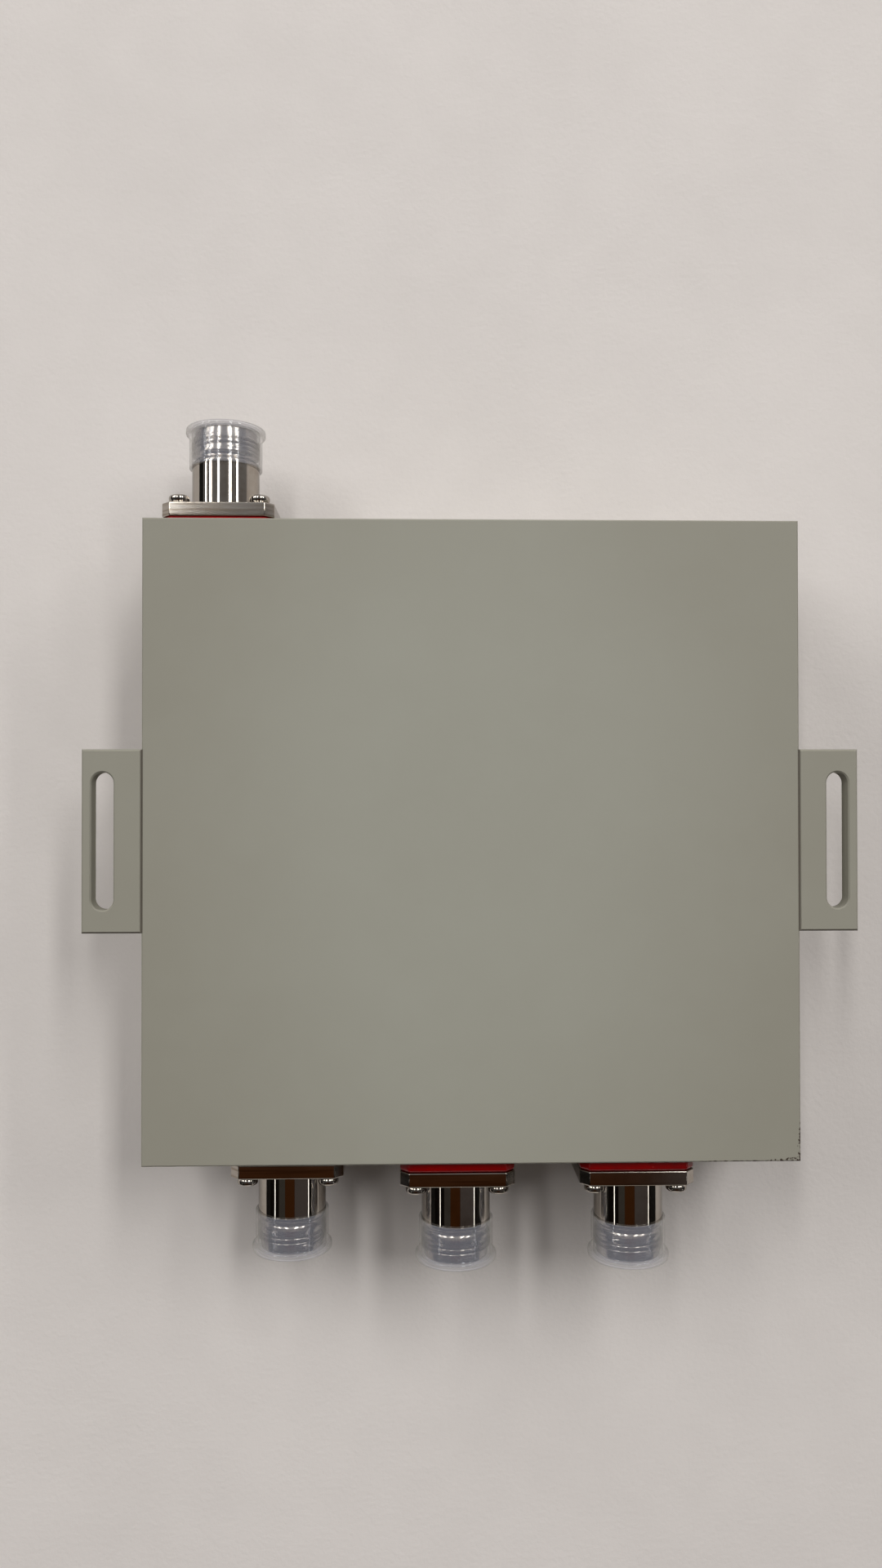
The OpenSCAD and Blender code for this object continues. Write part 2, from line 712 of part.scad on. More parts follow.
housing();
front_cover();
cover_seal();
cover_screws();
tuning_lid();
lid_screws();
for (b = [0:2], i = [1:post_n]) {
    resonator(b, i);
    tuning_screw(b, i);
}
resonator_screws();
lock_nuts();
common_line();
for (b = [0:2]) {
    tap_wire(b);
}
for (p = [0:3]) {
    connector_shell(p);
    insulator(p);
    contact_pin(p);
    flange_gasket(p);
    dust_cap(p);
}
flange_screws();
left_bracket();
right_bracket();
bracket_screws();
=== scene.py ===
"""Visual model of a three-band antenna combiner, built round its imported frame.

The housing, the brackets and the inner parts keep the frame's own meshes and take their finishes
here. Connectors, gaskets, dust caps and visible screws are modelled again with what shows close up:
a cut thread, rounded edges, driver recesses and thin moulded walls. Lengths are in metres.
"""

import logging
import math
from abc import ABC, abstractmethod
from collections.abc import Callable, Iterator, Sequence
from contextlib import contextmanager
from dataclasses import dataclass
from enum import Enum

import bmesh
import bpy
from mathutils import Matrix, Vector


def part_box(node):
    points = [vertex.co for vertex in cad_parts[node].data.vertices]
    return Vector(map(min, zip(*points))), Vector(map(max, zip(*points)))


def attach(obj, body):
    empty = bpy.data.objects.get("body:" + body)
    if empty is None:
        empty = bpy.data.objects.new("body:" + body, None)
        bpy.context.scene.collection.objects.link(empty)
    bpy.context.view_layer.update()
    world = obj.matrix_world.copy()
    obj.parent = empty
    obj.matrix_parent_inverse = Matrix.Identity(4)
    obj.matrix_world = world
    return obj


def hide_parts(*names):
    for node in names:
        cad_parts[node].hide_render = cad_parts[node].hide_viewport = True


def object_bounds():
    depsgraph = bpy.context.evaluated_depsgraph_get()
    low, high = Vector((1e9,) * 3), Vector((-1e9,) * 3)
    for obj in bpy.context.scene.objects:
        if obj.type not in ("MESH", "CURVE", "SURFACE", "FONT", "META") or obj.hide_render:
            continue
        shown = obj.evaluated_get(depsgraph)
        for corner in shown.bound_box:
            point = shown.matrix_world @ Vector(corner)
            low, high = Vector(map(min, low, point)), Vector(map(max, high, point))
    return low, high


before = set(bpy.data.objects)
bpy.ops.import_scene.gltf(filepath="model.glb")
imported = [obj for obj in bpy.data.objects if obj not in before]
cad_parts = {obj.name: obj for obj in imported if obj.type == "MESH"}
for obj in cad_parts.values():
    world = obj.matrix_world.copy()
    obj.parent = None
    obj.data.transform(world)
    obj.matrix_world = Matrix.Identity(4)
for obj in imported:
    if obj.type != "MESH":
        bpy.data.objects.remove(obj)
CAD_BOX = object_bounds()

MM = 0.001
SAME_PLACE = 0.001 * MM
QUARTER_TURN = math.pi / 2
ROOT_BODY = "combiner"
LOG = logging.getLogger("combiner")

Colour = tuple[float, float, float, float]
Ring = tuple[float, float]
Span = tuple[float, float]
Piece = bpy.types.Object
Socket = bpy.types.NodeSocket


def linear(level: float) -> float:
    """Turns one screen level, 0 to 1, into a linear one."""
    return level / 12.92 if level <= 0.04045 else ((level + 0.055) / 1.055) ** 2.4


def srgb(red: int, green: int, blue: int) -> Colour:
    """Turns a screen colour, 0 to 255 in each part, into the linear values that shaders take."""
    return linear(red / 255), linear(green / 255), linear(blue / 255), 1.0


class Slot(Enum):
    """Material slots of the record."""

    GREY_PAINT = "grey_paint"
    BRIGHT_NICKEL = "bright_nickel"
    RED_SILICONE = "red_silicone"
    CLEAR_CAP = "clear_cap"
    WHITE_INSULATOR = "white_insulator"
    GOLD_CONTACT = "gold_contact"
    SILVER_PLATE = "silver_plate"
    SILVERED_BRASS = "silvered_brass"
    PLAIN_BRASS = "plain_brass"
    STEEL = "steel"


class Pick(Enum):
    """Kinds of mesh element that can be selected in edit mode."""

    VERT = "verts"
    EDGE = "edges"
    FACE = "faces"


class Merge(Enum):
    """Ways to combine two solids."""

    UNION = "UNION"
    DIFFERENCE = "DIFFERENCE"


class Mark(Enum):
    """Numbers that a piece carries at its points for its finish to read."""

    MILLED = "milled"
    CUT = "cut"
    HAZE = "haze"


class Effect(Enum):
    """Shader effects that several finishes share."""

    TONE = "tone_drift"
    GRAIN = "fine_grain"
    LINES = "turned_lines"
    SPECKS = "dust_specks"


class Ray(Enum):
    """Kinds of light ray that a material can tell apart."""

    CAMERA = "Is Camera Ray"
    GLOSSY = "Is Glossy Ray"
    TRANSMISSION = "Is Transmission Ray"


class Drive(Enum):
    """Driver recesses in screw heads."""

    CROSS = "cross"
    HEX = "hex"


class Side(Enum):
    """End walls of the housing that carry ports, by the sign of Y."""

    UPPER = 1
    LOWER = -1


class Bench:
    """Hand tools that leave the selection and the mode tidy."""

    @staticmethod
    def put_down() -> None:
        """Leaves edit mode and deselects everything."""
        if bpy.context.mode != "OBJECT":
            bpy.ops.object.mode_set(mode="OBJECT")
        bpy.ops.object.select_all(action="DESELECT")

    @staticmethod
    def take(piece: Piece) -> None:
        """Makes a piece the only selected one, and active.

        Args:
            piece: The piece to work on.
        """
        Bench.put_down()
        piece.select_set(True)
        bpy.context.view_layer.objects.active = piece

    @staticmethod
    @contextmanager
    def editing(piece: Piece) -> Iterator[None]:
        """Holds a piece in edit mode.

        Args:
            piece: The piece to work on.

        Yields:
            Nothing.
        """
        Bench.take(piece)
        bpy.ops.object.mode_set(mode="EDIT")
        yield
        bpy.ops.object.mode_set(mode="OBJECT")

    @staticmethod
    def pick(piece: Piece, kind: Pick, test: Callable[..., bool]) -> None:
        """Selects the elements that pass a test, and only these.

        Args:
            piece: A piece in edit mode.
            kind: Kind of element.
            test: Says of an element whether it is wanted.
        """
        bpy.ops.mesh.select_mode(type=kind.name)
        bpy.ops.mesh.select_all(action="DESELECT")
        mesh = bmesh.from_edit_mesh(piece.data)
        for element in getattr(mesh, kind.value):
            if test(element):
                element.select_set(True)
        bmesh.update_edit_mesh(piece.data)

    @staticmethod
    def close_ends() -> None:
        """Fills the open ends of the piece in edit mode and turns its faces outwards."""
        bpy.ops.mesh.select_all(action="SELECT")
        bpy.ops.mesh.fill_holes(sides=0)
        bpy.ops.mesh.select_all(action="SELECT")
        bpy.ops.mesh.normals_make_consistent(inside=False)

    @staticmethod
    def apply_all(piece: Piece) -> None:
        """Moves a piece's place, turn and scale into its mesh."""
        Bench.take(piece)
        bpy.ops.object.transform_apply(location=True, rotation=True, scale=True)

    @staticmethod
    def block(name: str, size: Sequence[float], centre: Sequence[float]) -> Piece:
        """Adds a box.

        Args:
            name: Name of the piece.
            size: Lengths along X, Y and Z.
            centre: Middle of the box.

        Returns:
            The box.
        """
        Bench.put_down()
        bpy.ops.mesh.primitive_cube_add(size=1, location=centre, scale=size)
        piece = bpy.context.object
        piece.name = name
        Bench.apply_all(piece)
        return piece

    @staticmethod
    def turned(name: str, rings: Sequence[Ring], sides: int) -> Piece:
        """Turns a closed round piece about Z: a circle is extruded and resized from ring to ring.

        Args:
            name: Name of the piece.
            rings: Radius and height of each ring; the first and the last are filled.
            sides: Points round the piece.

        Returns:
            The piece.
        """
        Bench.put_down()
        radius, height = rings[0]
        bpy.ops.mesh.primitive_circle_add(vertices=sides, radius=radius, location=(0, 0, height))
        piece = bpy.context.object
        piece.name = name
        Bench.apply_all(piece)
        with Bench.editing(piece):
            bpy.ops.mesh.select_mode(type=Pick.EDGE.name)
            bpy.ops.mesh.select_all(action="SELECT")
            for next_radius, next_height in rings[1:]:
                grow = next_radius / radius
                bpy.ops.mesh.extrude_region()
                bpy.ops.transform.translate(value=(0, 0, next_height - height))
                bpy.ops.transform.resize(value=(grow, grow, 1), center_override=(0, 0, next_height))
                radius, height = next_radius, next_height
            Bench.close_ends()
        return piece

    @staticmethod
    def combine(piece: Piece, tool: Piece, how: Merge) -> None:
        """Unites a piece with a tool or cuts the tool out of it; the tool is used up.

        Args:
            piece: The piece to change.
            tool: The other solid.
            how: What to do with the two.
        """
        Bench.take(piece)
        modifier = piece.modifiers.new(how.name, "BOOLEAN")
        modifier.operation = how.value
        modifier.solver = "EXACT"
        modifier.object = tool
        bpy.ops.object.modifier_apply(modifier=modifier.name)
        bpy.data.objects.remove(tool)

    @staticmethod
    def copies(template: Piece, places: Sequence[Matrix], name: str) -> Piece:
        """Puts a copy of a template at each place and joins the copies; the template stays.

        Args:
            template: The piece to repeat.
            places: Where the copies go.
            name: Name of the joined piece.

        Returns:
            The joined piece.
        """
        Bench.put_down()
        for place in places:
            twin = template.copy()
            twin.data = template.data.copy()
            bpy.context.scene.collection.objects.link(twin)
            twin.matrix_world = place
            twin.select_set(True)
            bpy.context.view_layer.objects.active = twin
        bpy.ops.object.transform_apply(location=True, rotation=True, scale=True)
        if len(places) > 1:
            bpy.ops.object.join()
        joined = bpy.context.view_layer.objects.active
        joined.name = joined.data.name = name
        return joined

    @staticmethod
    def join(piece: Piece, other: Piece) -> None:
        """Joins another piece into a piece.

        Args:
            piece: The piece that stays.
            other: The piece that goes into it.
        """
        Bench.take(piece)
        other.select_set(True)
        bpy.ops.object.join()

    @staticmethod
    def mark(piece: Piece, mark: Mark, value: Callable[[Vector], float]) -> None:
        """Writes a number at each point of a piece.

        Args:
            piece: The piece.
            mark: What the number stands for.
            value: Gives the number at a place.
        """
        entries = piece.data.attributes.new(mark.value, "FLOAT", "POINT").data
        for vertex, entry in zip(piece.data.vertices, entries):
            entry.value = value(vertex.co)

    @staticmethod
    def smooth(piece: Piece, angle: float = 32.0) -> None:
        """Shades a piece smooth up to an angle, and keeps its large faces flat.

        Args:
            piece: The piece.
            angle: Largest angle in degrees that still looks round.
        """
        Bench.take(piece)
        bpy.ops.object.shade_smooth_by_angle(angle=math.radians(angle))
        modifier = piece.modifiers.new("flat_faces", "WEIGHTED_NORMAL")
        modifier.keep_sharp = True
        bpy.ops.object.modifier_apply(modifier=modifier.name)


class Graph:
    """Adds and links the nodes of one shader tree."""

    def __init__(self, tree: bpy.types.NodeTree) -> None:
        """Opens a tree."""
        self.tree = tree

    def feed(self, socket: Socket, value: object) -> None:
        """Links a socket to an output, or sets its own value.

        Args:
            socket: Input to feed.
            value: An output, a number or a tuple.
        """
        if isinstance(value, bpy.types.NodeSocket):
            self.tree.links.new(value, socket)
        else:
            socket.default_value = value

    def node(self, kind: str, inputs: dict | None = None, **settings: object) -> bpy.types.Node:
        """Adds a node.

        Args:
            kind: Type of the node, without its ShaderNode prefix.
            inputs: Values for inputs, by name or number.
            **settings: Values for the node's own settings.

        Returns:
            The node.
        """
        made = self.tree.nodes.new(f"ShaderNode{kind}")
        for key, value in settings.items():
            setattr(made, key, value)
        for key, value in (inputs or {}).items():
            self.feed(made.inputs[key], value)
        return made

    def math(self, operation: str, *values: object, clamp: bool = False) -> Socket:
        """Adds a calculation, whose result can be kept between 0 and 1."""
        inputs = dict(enumerate(values))
        return self.node("Math", inputs, operation=operation, use_clamp=clamp).outputs[0]

    def plus(self, first: object, second: object) -> Socket:
        """Adds two values."""
        return self.math("ADD", first, second)

    def minus(self, first: object, second: object) -> Socket:
        """Takes the second value from the first."""
        return self.math("SUBTRACT", first, second)

    def times(self, first: object, second: object) -> Socket:
        """Multiplies two values."""
        return self.math("MULTIPLY", first, second)

    def most(self, first: object, second: object) -> Socket:
        """Takes the larger of two values."""
        return self.math("MAXIMUM", first, second)

    def magnitude(self, value: object) -> Socket:
        """Takes away a value's sign."""
        return self.math("ABSOLUTE", value)

    def length(self, first: Socket, second: Socket) -> Socket:
        """Takes the length of a flat vector from its two parts."""
        squares = self.plus(self.times(first, first), self.times(second, second))
        return self.math("SQRT", squares)

    def ramp(
        self, value: object, low: float, high: float, start: float = 0.0, end: float = 1.0
    ) -> Socket:
        """Maps a value from low and high to start and end, with soft ends."""
        inputs = {"Value": value, "From Min": low, "From Max": high, "To Min": start, "To Max": end}
        return self.node("MapRange", inputs, interpolation_type="SMOOTHSTEP").outputs[0]

    def within(self, value: object, low: float, high: float) -> Socket:
        """Makes a mask that is 1 up to low and fades to 0 at high."""
        return self.ramp(value, low, high, 1.0, 0.0)

    def noise(self, vector: Socket, scale: object, detail: float) -> Socket:
        """Adds soft noise between 0 and 1, with some octaves of detail."""
        inputs = {"Vector": vector, "Scale": scale, "Detail": detail}
        return self.node("TexNoise", inputs).outputs[0]

    def mix(self, share: object, first: object, second: object) -> Socket:
        """Mixes two colours by the share of the second."""
        return self.node("Mix", {0: share, 6: first, 7: second}, data_type="RGBA").outputs[2]

    def split(self, vector: Socket) -> Sequence[Socket]:
        """Splits a vector into X, Y and Z."""
        return self.node("SeparateXYZ", {0: vector}).outputs

    def rays(self, *kinds: Ray) -> Socket:
        """Makes a mask of the rays of some kinds.

        Args:
            *kinds: The kinds.

        Returns:
            1 for a ray of any of these kinds, 0 for others.
        """
        path = self.node("LightPath").outputs
        mask, *others = (path[kind.value] for kind in kinds)
        for other in others:
            mask = self.most(mask, other)
        return mask


class Effects:
    """The shared shader effects, each made once as a node group.

    Attributes:
        WIDE: Weight of the slow part of the drift of tone.
        CLOSE: Weight of its finer part.
        FINER: How many times finer that part is.
        STRETCH: Share of the other directions in the tool lines, which run round Y.
        SPECK_EDGE: Steepness of a speck's edge.
    """

    WIDE = 2.6
    CLOSE = 1.2
    FINER = 6.3
    STRETCH = 0.02
    SPECK_EDGE = 12.0

    def __init__(self) -> None:
        """Makes all groups."""
        self.groups: dict[Effect, bpy.types.NodeTree] = {}
        self.tone_drift()
        self.fine_grain()
        self.turned_lines()
        self.dust_specks()

    def group(
        self, effect: Effect, output: str, *extra: str
    ) -> tuple[Graph, Sequence[Socket], Socket]:
        """Starts a node group that takes coordinates, a scale and any further numbers.

        Args:
            effect: The effect that it makes.
            output: Name of the one result.
            *extra: Names of the further numbers.

        Returns:
            The group's graph, its inputs and the socket for its result.
        """
        tree = bpy.data.node_groups.new(effect.value, "ShaderNodeTree")
        self.groups[effect] = tree
        kinds = {"Vector": "Vector", "Scale": "Float", **dict.fromkeys(extra, "Float")}
        for name, kind in kinds.items():
            tree.interface.new_socket(name=name, in_out="INPUT", socket_type=f"NodeSocket{kind}")
        tree.interface.new_socket(name=output, in_out="OUTPUT", socket_type="NodeSocketFloat")
        entry = tree.nodes.new("NodeGroupInput")
        leave = tree.nodes.new("NodeGroupOutput")
        return Graph(tree), entry.outputs[:len(kinds)], leave.inputs[0]

    def tone_drift(self) -> None:
        """Makes the slow change of tone over a surface, about -1 to 1."""
        graph, (vector, scale), result = self.group(Effect.TONE, "Value")
        wide = graph.times(graph.noise(vector, scale, detail=2.0), self.WIDE)
        close = graph.noise(vector, graph.times(scale, self.FINER), detail=3.0)
        both = graph.plus(wide, graph.times(close, self.CLOSE))
        graph.feed(result, graph.minus(both, (self.WIDE + self.CLOSE) / 2))

    def fine_grain(self) -> None:
        """Makes fine even grain, 0 to 1, for bumps."""
        graph, (vector, scale), result = self.group(Effect.GRAIN, "Height")
        graph.feed(result, graph.noise(vector, scale, detail=3.0))

    def turned_lines(self) -> None:
        """Makes fine tool lines round the axis of a port, which runs along Y."""
        graph, (vector, scale), result = self.group(Effect.LINES, "Height")
        x, y, z = graph.split(vector)
        across = graph.times(graph.plus(x, z), self.STRETCH)
        along = graph.node("CombineXYZ", {0: across, 1: y, 2: across}).outputs[0]
        graph.feed(result, graph.noise(along, scale, detail=2.0))

    def dust_specks(self) -> None:
        """Makes scattered small specks, 1 inside a speck and 0 elsewhere."""
        graph, (vector, scale, share), result = self.group(Effect.SPECKS, "Mask", "Share")
        cells = graph.node("TexVoronoi", {"Vector": vector, "Scale": scale})
        size = graph.times(graph.split(cells.outputs["Color"])[0], share)
        near = graph.minus(size, cells.outputs["Distance"])
        graph.feed(result, graph.math("MULTIPLY", near, self.SPECK_EDGE, clamp=True))


class Look(Graph):
    """The graph of one material, with its shader, its coordinates and the shared effects."""

    def __init__(self, name: str, effects: Effects) -> None:
        """Starts a material.

        Args:
            name: What the material is on.
            effects: The shared effects.
        """
        self.material = bpy.data.materials.new(f"finish_{name}")
        self.material.use_nodes = True
        super().__init__(self.material.node_tree)
        self.shader = next(node for node in self.tree.nodes if node.type == "BSDF_PRINCIPLED")
        self.where = self.node("TexCoord").outputs["Object"]
        self.effects = effects

    def set(self, name: str, value: object) -> None:
        """Feeds an input of the shader."""
        self.feed(self.shader.inputs[name], value)

    def effect(self, effect: Effect, scale: object, **inputs: object) -> Socket:
        """Adds a shared effect at some scale, in cells for each metre."""
        inputs = {"Vector": self.where, "Scale": scale, **inputs}
        return self.node("Group", inputs, node_tree=self.effects.groups[effect]).outputs[0]

    def tone(self, scale: float, low: float = -0.8, high: float = 0.8) -> Socket:
        """Adds a slow change between 0 and 1."""
        return self.ramp(self.effect(Effect.TONE, scale), low, high)

    def read(self, mark: Mark) -> Socket:
        """Reads a number that the piece carries at its points."""
        return self.node("Attribute", attribute_name=mark.value).outputs["Fac"]

    def rough(self, tone: Socket, mean: float, less: float = 0.03, more: float = 0.05) -> Socket:
        """Lets a roughness follow the tone, from a little less than its mean to a little more."""
        return self.ramp(tone, 0.0, 1.0, mean - less, mean + more)

    def bump(self, height: Socket, distance: float) -> None:
        """Raises the surface by a height between 0 and 1 times a distance."""
        made = self.node("Bump", {"Strength": 1.0, "Distance": distance, "Height": height})
        self.set("Normal", made.outputs[0])


@dataclass(frozen=True)
class Finish(ABC):
    """A material of the object or of its studio."""

    def build(self, name: str, effects: Effects) -> bpy.types.Material:
        """Makes the material.

        Args:
            name: What the material is on.
            effects: The shared effects.

        Returns:
            The material.
        """
        look = Look(name, effects)
        self.fill(look)
        return look.material

    @abstractmethod
    def fill(self, look: Look) -> None:
        """Adds the finish's own nodes to the graph of a new material."""


@dataclass(frozen=True)
class Paint(Finish):
    """Satin paint, rougher towards the sides and painted darker there as falloff of light, with
    orange peel and chips at one corner.

    Attributes:
        base: Colour of clean paint.
        drift: Colour that the clouds drift to, and that the painted falloff of light gives the
            sides.
        chip: Colour of bare, dirty metal in the chips.
        corner: Place of the worn upper corner.
        roughness: Mean roughness.
        spread: How far the roughness follows the tone, up and down.
        worn_rough: Roughness added in a chip.
        gloss: Strength of its reflections.
        peel: Height of the orange peel.
        peel_scale: Dimples of the orange peel for each metre.
        clouds: Slow clouds of tone for each metre.
        cloud_range: Range of the drift that the clouds take in.
        cloud_share: Share of the clouds in the tone.
        painted_falloff: Where the painted falloff of light towards the sides starts and where it is
            full, from the middle.
        painted_falloff_share: Share of the painted falloff in the tone.
        squash: Share of Y in that distance.
        specks: Dust specks for each metre.
        speck_size: Size of the specks.
        dust_and_shade: Strength of dirt in specks and joints.
        ragged: Notches in the chips' outlines for each metre.
        reach: How far the edges are rubbed bare, along X and along Y.
        full_rub: Share of the reach that is rubbed fully.
        rub: Least and largest width of the rubbed line.
        rub_range: Range of the notches between these widths.
        bruise: How far from the corner the paint is chipped.
        depth: Largest width of a chip.
        depth_range: Range of the notches from no chip to the largest.
        crisp: Steepness of a chip's edge, for each metre.
        sink: Depth of a chip, in heights of the orange peel.
        bracket_half: Half the length of a bracket.
        lip: How far below the back face the painted shade in the joint with a bracket reaches.
        joint: Where the painted shade in that joint starts to fade and where it ends.
        shade: The same for the painted shade on the brackets' lower edges.
    """

    base: Colour
    drift: Colour
    chip: Colour
    corner: tuple[float, float, float]
    roughness: float = 0.6
    spread: float = 0.04
    worn_rough: float = 0.25
    gloss: float = 0.28
    peel: float = 0.010 * MM
    peel_scale: float = 1500.0
    clouds: float = 22.0
    cloud_range: Span = (-0.9, 0.9)
    cloud_share: float = 0.24
    painted_falloff: Span = (20.0 * MM, 76.0 * MM)
    painted_falloff_share: float = 0.8
    squash: float = 0.55
    specks: float = 95.0
    speck_size: float = 0.016
    dust_and_shade: float = 0.6
    ragged: float = 1500.0
    reach: Span = (44.0 * MM, 9.0 * MM)
    full_rub: float = 0.4
    rub: Span = (0.17 * MM, 0.442 * MM)
    rub_range: Span = (0.3, 0.7)
    bruise: float = 15.0 * MM
    depth: float = 1.0 * MM
    depth_range: Span = (0.36, 0.66)
    crisp: float = 6.0 / MM
    sink: float = 6.0
    bracket_half: float = 20.0 * MM
    lip: float = 0.6 * MM
    joint: Span = (0.12 * MM, 0.42 * MM)
    shade: Span = (0.3 * MM, 0.45 * MM)

    def chips(self, look: Look) -> Socket:
        """Makes a mask of the chips along the edges that meet at the worn corner.

        Args:
            look: Graph of the material.

        Returns:
            1 in a chip, 0 on sound paint.
        """
        x, y, z = look.split(look.where)
        dx = look.minus(self.corner[0], x)
        dy = look.minus(y, self.corner[1])
        dz = look.minus(self.corner[2], z)
        notches = look.noise(look.where, self.ragged, detail=6.0)
        rubbed = look.ramp(notches, *self.rub_range, *self.rub)
        burst = look.ramp(notches, *self.depth_range, 0.0, self.depth)
        masks = []
        for across, run, reach in ((dy, dx, self.reach[0]), (dx, dy, self.reach[1])):
            line = look.times(look.within(run, self.full_rub * reach, reach), rubbed)
            broken = look.times(look.within(run, 0.0, self.bruise), burst)
            inside = look.minus(look.most(line, broken), look.length(across, dz))
            masks.append(look.math("MULTIPLY", inside, self.crisp, clamp=True))
        return look.most(*masks)

    def painted_shade(self, look: Look) -> Socket:
        """Makes a mask of painted shade in the joint with the brackets and on the brackets' lower
        edges.

        Args:
            look: Graph of the material.

        Returns:
            1 in the painted shade, 0 elsewhere.
        """
        x, y, z = look.split(look.where)
        wall, _, back = self.corner
        beside = look.math("LESS_THAN", look.magnitude(y), self.bracket_half)
        beside = look.times(beside, look.math("GREATER_THAN", z, back - self.lip))
        off = look.magnitude(look.minus(look.magnitude(x), wall))
        # Painted shade in the joint between the housing and a bracket.
        joint = look.times(look.within(off, *self.joint), beside)
        # Painted shade on the brackets' lower edges, which face away from the lamps.
        lower = look.within(look.plus(y, self.bracket_half), *self.shade)
        on_ear = look.math("GREATER_THAN", look.magnitude(x), wall)
        return look.most(joint, look.times(lower, on_ear))

    def fill(self, look: Look) -> None:
        """Adds the paint's nodes.

        Args:
            look: Graph of the new material.
        """
        x, y, _ = look.split(look.where)
        clouds = look.tone(self.clouds, *self.cloud_range)
        # Painted falloff of light: from the middle towards the sides the paint is painted darker,
        # and made rougher.
        dull = look.ramp(look.length(x, look.times(y, self.squash)), *self.painted_falloff)
        tone = look.plus(
            look.times(clouds, self.cloud_share), look.times(dull, self.painted_falloff_share))
        worn = self.chips(look)
        specks = look.effect(Effect.SPECKS, self.specks, Share=self.speck_size)
        # Dust specks and the painted shade at the brackets darken the paint towards the chips'
        # colour.
        dust_and_shade = look.times(look.most(self.painted_shade(look), specks), self.dust_and_shade)
        clean = look.mix(tone, self.base, self.drift)
        look.set("Base Color", look.mix(look.most(worn, dust_and_shade), clean, self.chip))
        rough = look.rough(tone, self.roughness, self.spread, self.spread)
        look.set("Roughness", look.plus(rough, look.times(worn, self.worn_rough)))
        look.set("Specular IOR Level", self.gloss)
        peel = look.effect(Effect.GRAIN, self.peel_scale)
        look.bump(look.minus(peel, look.times(worn, self.sink)), self.peel)


@dataclass(frozen=True)
class Metal(Finish):
    """Bare or plated metal with tool lines and a little tarnish.

    Attributes:
        base: Colour of clean metal.
        tarnish: Colour where it has dulled.
        roughness: Roughness of clean metal.
        dulling: Roughness added by tarnish.
        milling: Roughness added on milled faces.
        cutting: Roughness added where a thread is cut.
        graze: Brightness at grazing angles.
        clouds: Patches of tarnish for each metre.
        cloud_range: Range of the drift from clean to dull.
        lines: Height of the tool lines.
        pitch: Tool lines for each metre.
        milled_pitch: Share of these on milled faces.
        milled_rise: Height that milling adds to the lines, in heights of the others.
        streaks: Range of the milled lines from clean to dull.
    """

    base: Colour
    tarnish: Colour
    roughness: float
    dulling: float = 0.08
    milling: float = 0.06
    cutting: float = 0.13
    graze: float = 0.72
    clouds: float = 90.0
    cloud_range: Span = (-0.4, 1.2)
    lines: float = 0.0006 * MM
    pitch: float = 5000.0
    milled_pitch: float = 0.3
    milled_rise: float = 3.0
    streaks: Span = (0.45, 0.65)

    def fill(self, look: Look) -> None:
        """Adds the metal's nodes.

        Args:
            look: Graph of the new material.
        """
        tone = look.tone(self.clouds, *self.cloud_range)
        milled = look.read(Mark.MILLED)
        wider = (self.milled_pitch - 1) * self.pitch
        lines = look.effect(Effect.LINES, look.plus(look.times(milled, wider), self.pitch))
        streak = look.times(look.ramp(lines, *self.streaks), milled)
        look.set("Base Color", look.mix(look.most(tone, streak), self.base, self.tarnish))
        look.set("Metallic", 1.0)
        look.set("Specular Tint", (self.graze, self.graze, self.graze, 1.0))
        dull = look.times(look.plus(tone, lines), self.dulling / 2)
        dull = look.plus(dull, look.times(milled, self.milling))
        dull = look.plus(dull, look.times(look.read(Mark.CUT), self.cutting))
        look.set("Roughness", look.plus(dull, self.roughness))
        rise = look.plus(look.times(milled, self.milled_rise), 1.0)
        look.bump(look.times(lines, rise), self.lines)


@dataclass(frozen=True)
class Moulded(Finish):
    """Moulded rubber or plastic with a slow change of tone and some dust.

    Attributes:
        base: Main colour.
        drift: Colour at the other end of the slow change.
        dust: Colour of dust on it.
        roughness: Mean roughness.
        clouds: Slow changes of tone for each metre.
        specks: Dust specks for each metre.
        speck_size: Size of the specks.
        dust_cover: Cover of a speck.
        grain: Height of the skin's grain.
        grain_scale: Grains for each metre.
    """

    base: Colour
    drift: Colour
    dust: Colour
    roughness: float
    clouds: float = 140.0
    specks: float = 650.0
    speck_size: float = 0.10
    dust_cover: float = 0.5
    grain: float = 0.004 * MM
    grain_scale: float = 2600.0

    def fill(self, look: Look) -> None:
        """Adds the nodes of the moulded skin.

        Args:
            look: Graph of the new material.
        """
        tone = look.tone(self.clouds)
        dust = look.effect(Effect.SPECKS, self.specks, Share=self.speck_size)
        body = look.mix(tone, self.base, self.drift)
        look.set("Base Color", look.mix(look.times(dust, self.dust_cover), body, self.dust))
        look.set("Roughness", look.rough(tone, self.roughness))
        look.bump(look.effect(Effect.GRAIN, self.grain_scale), self.grain)


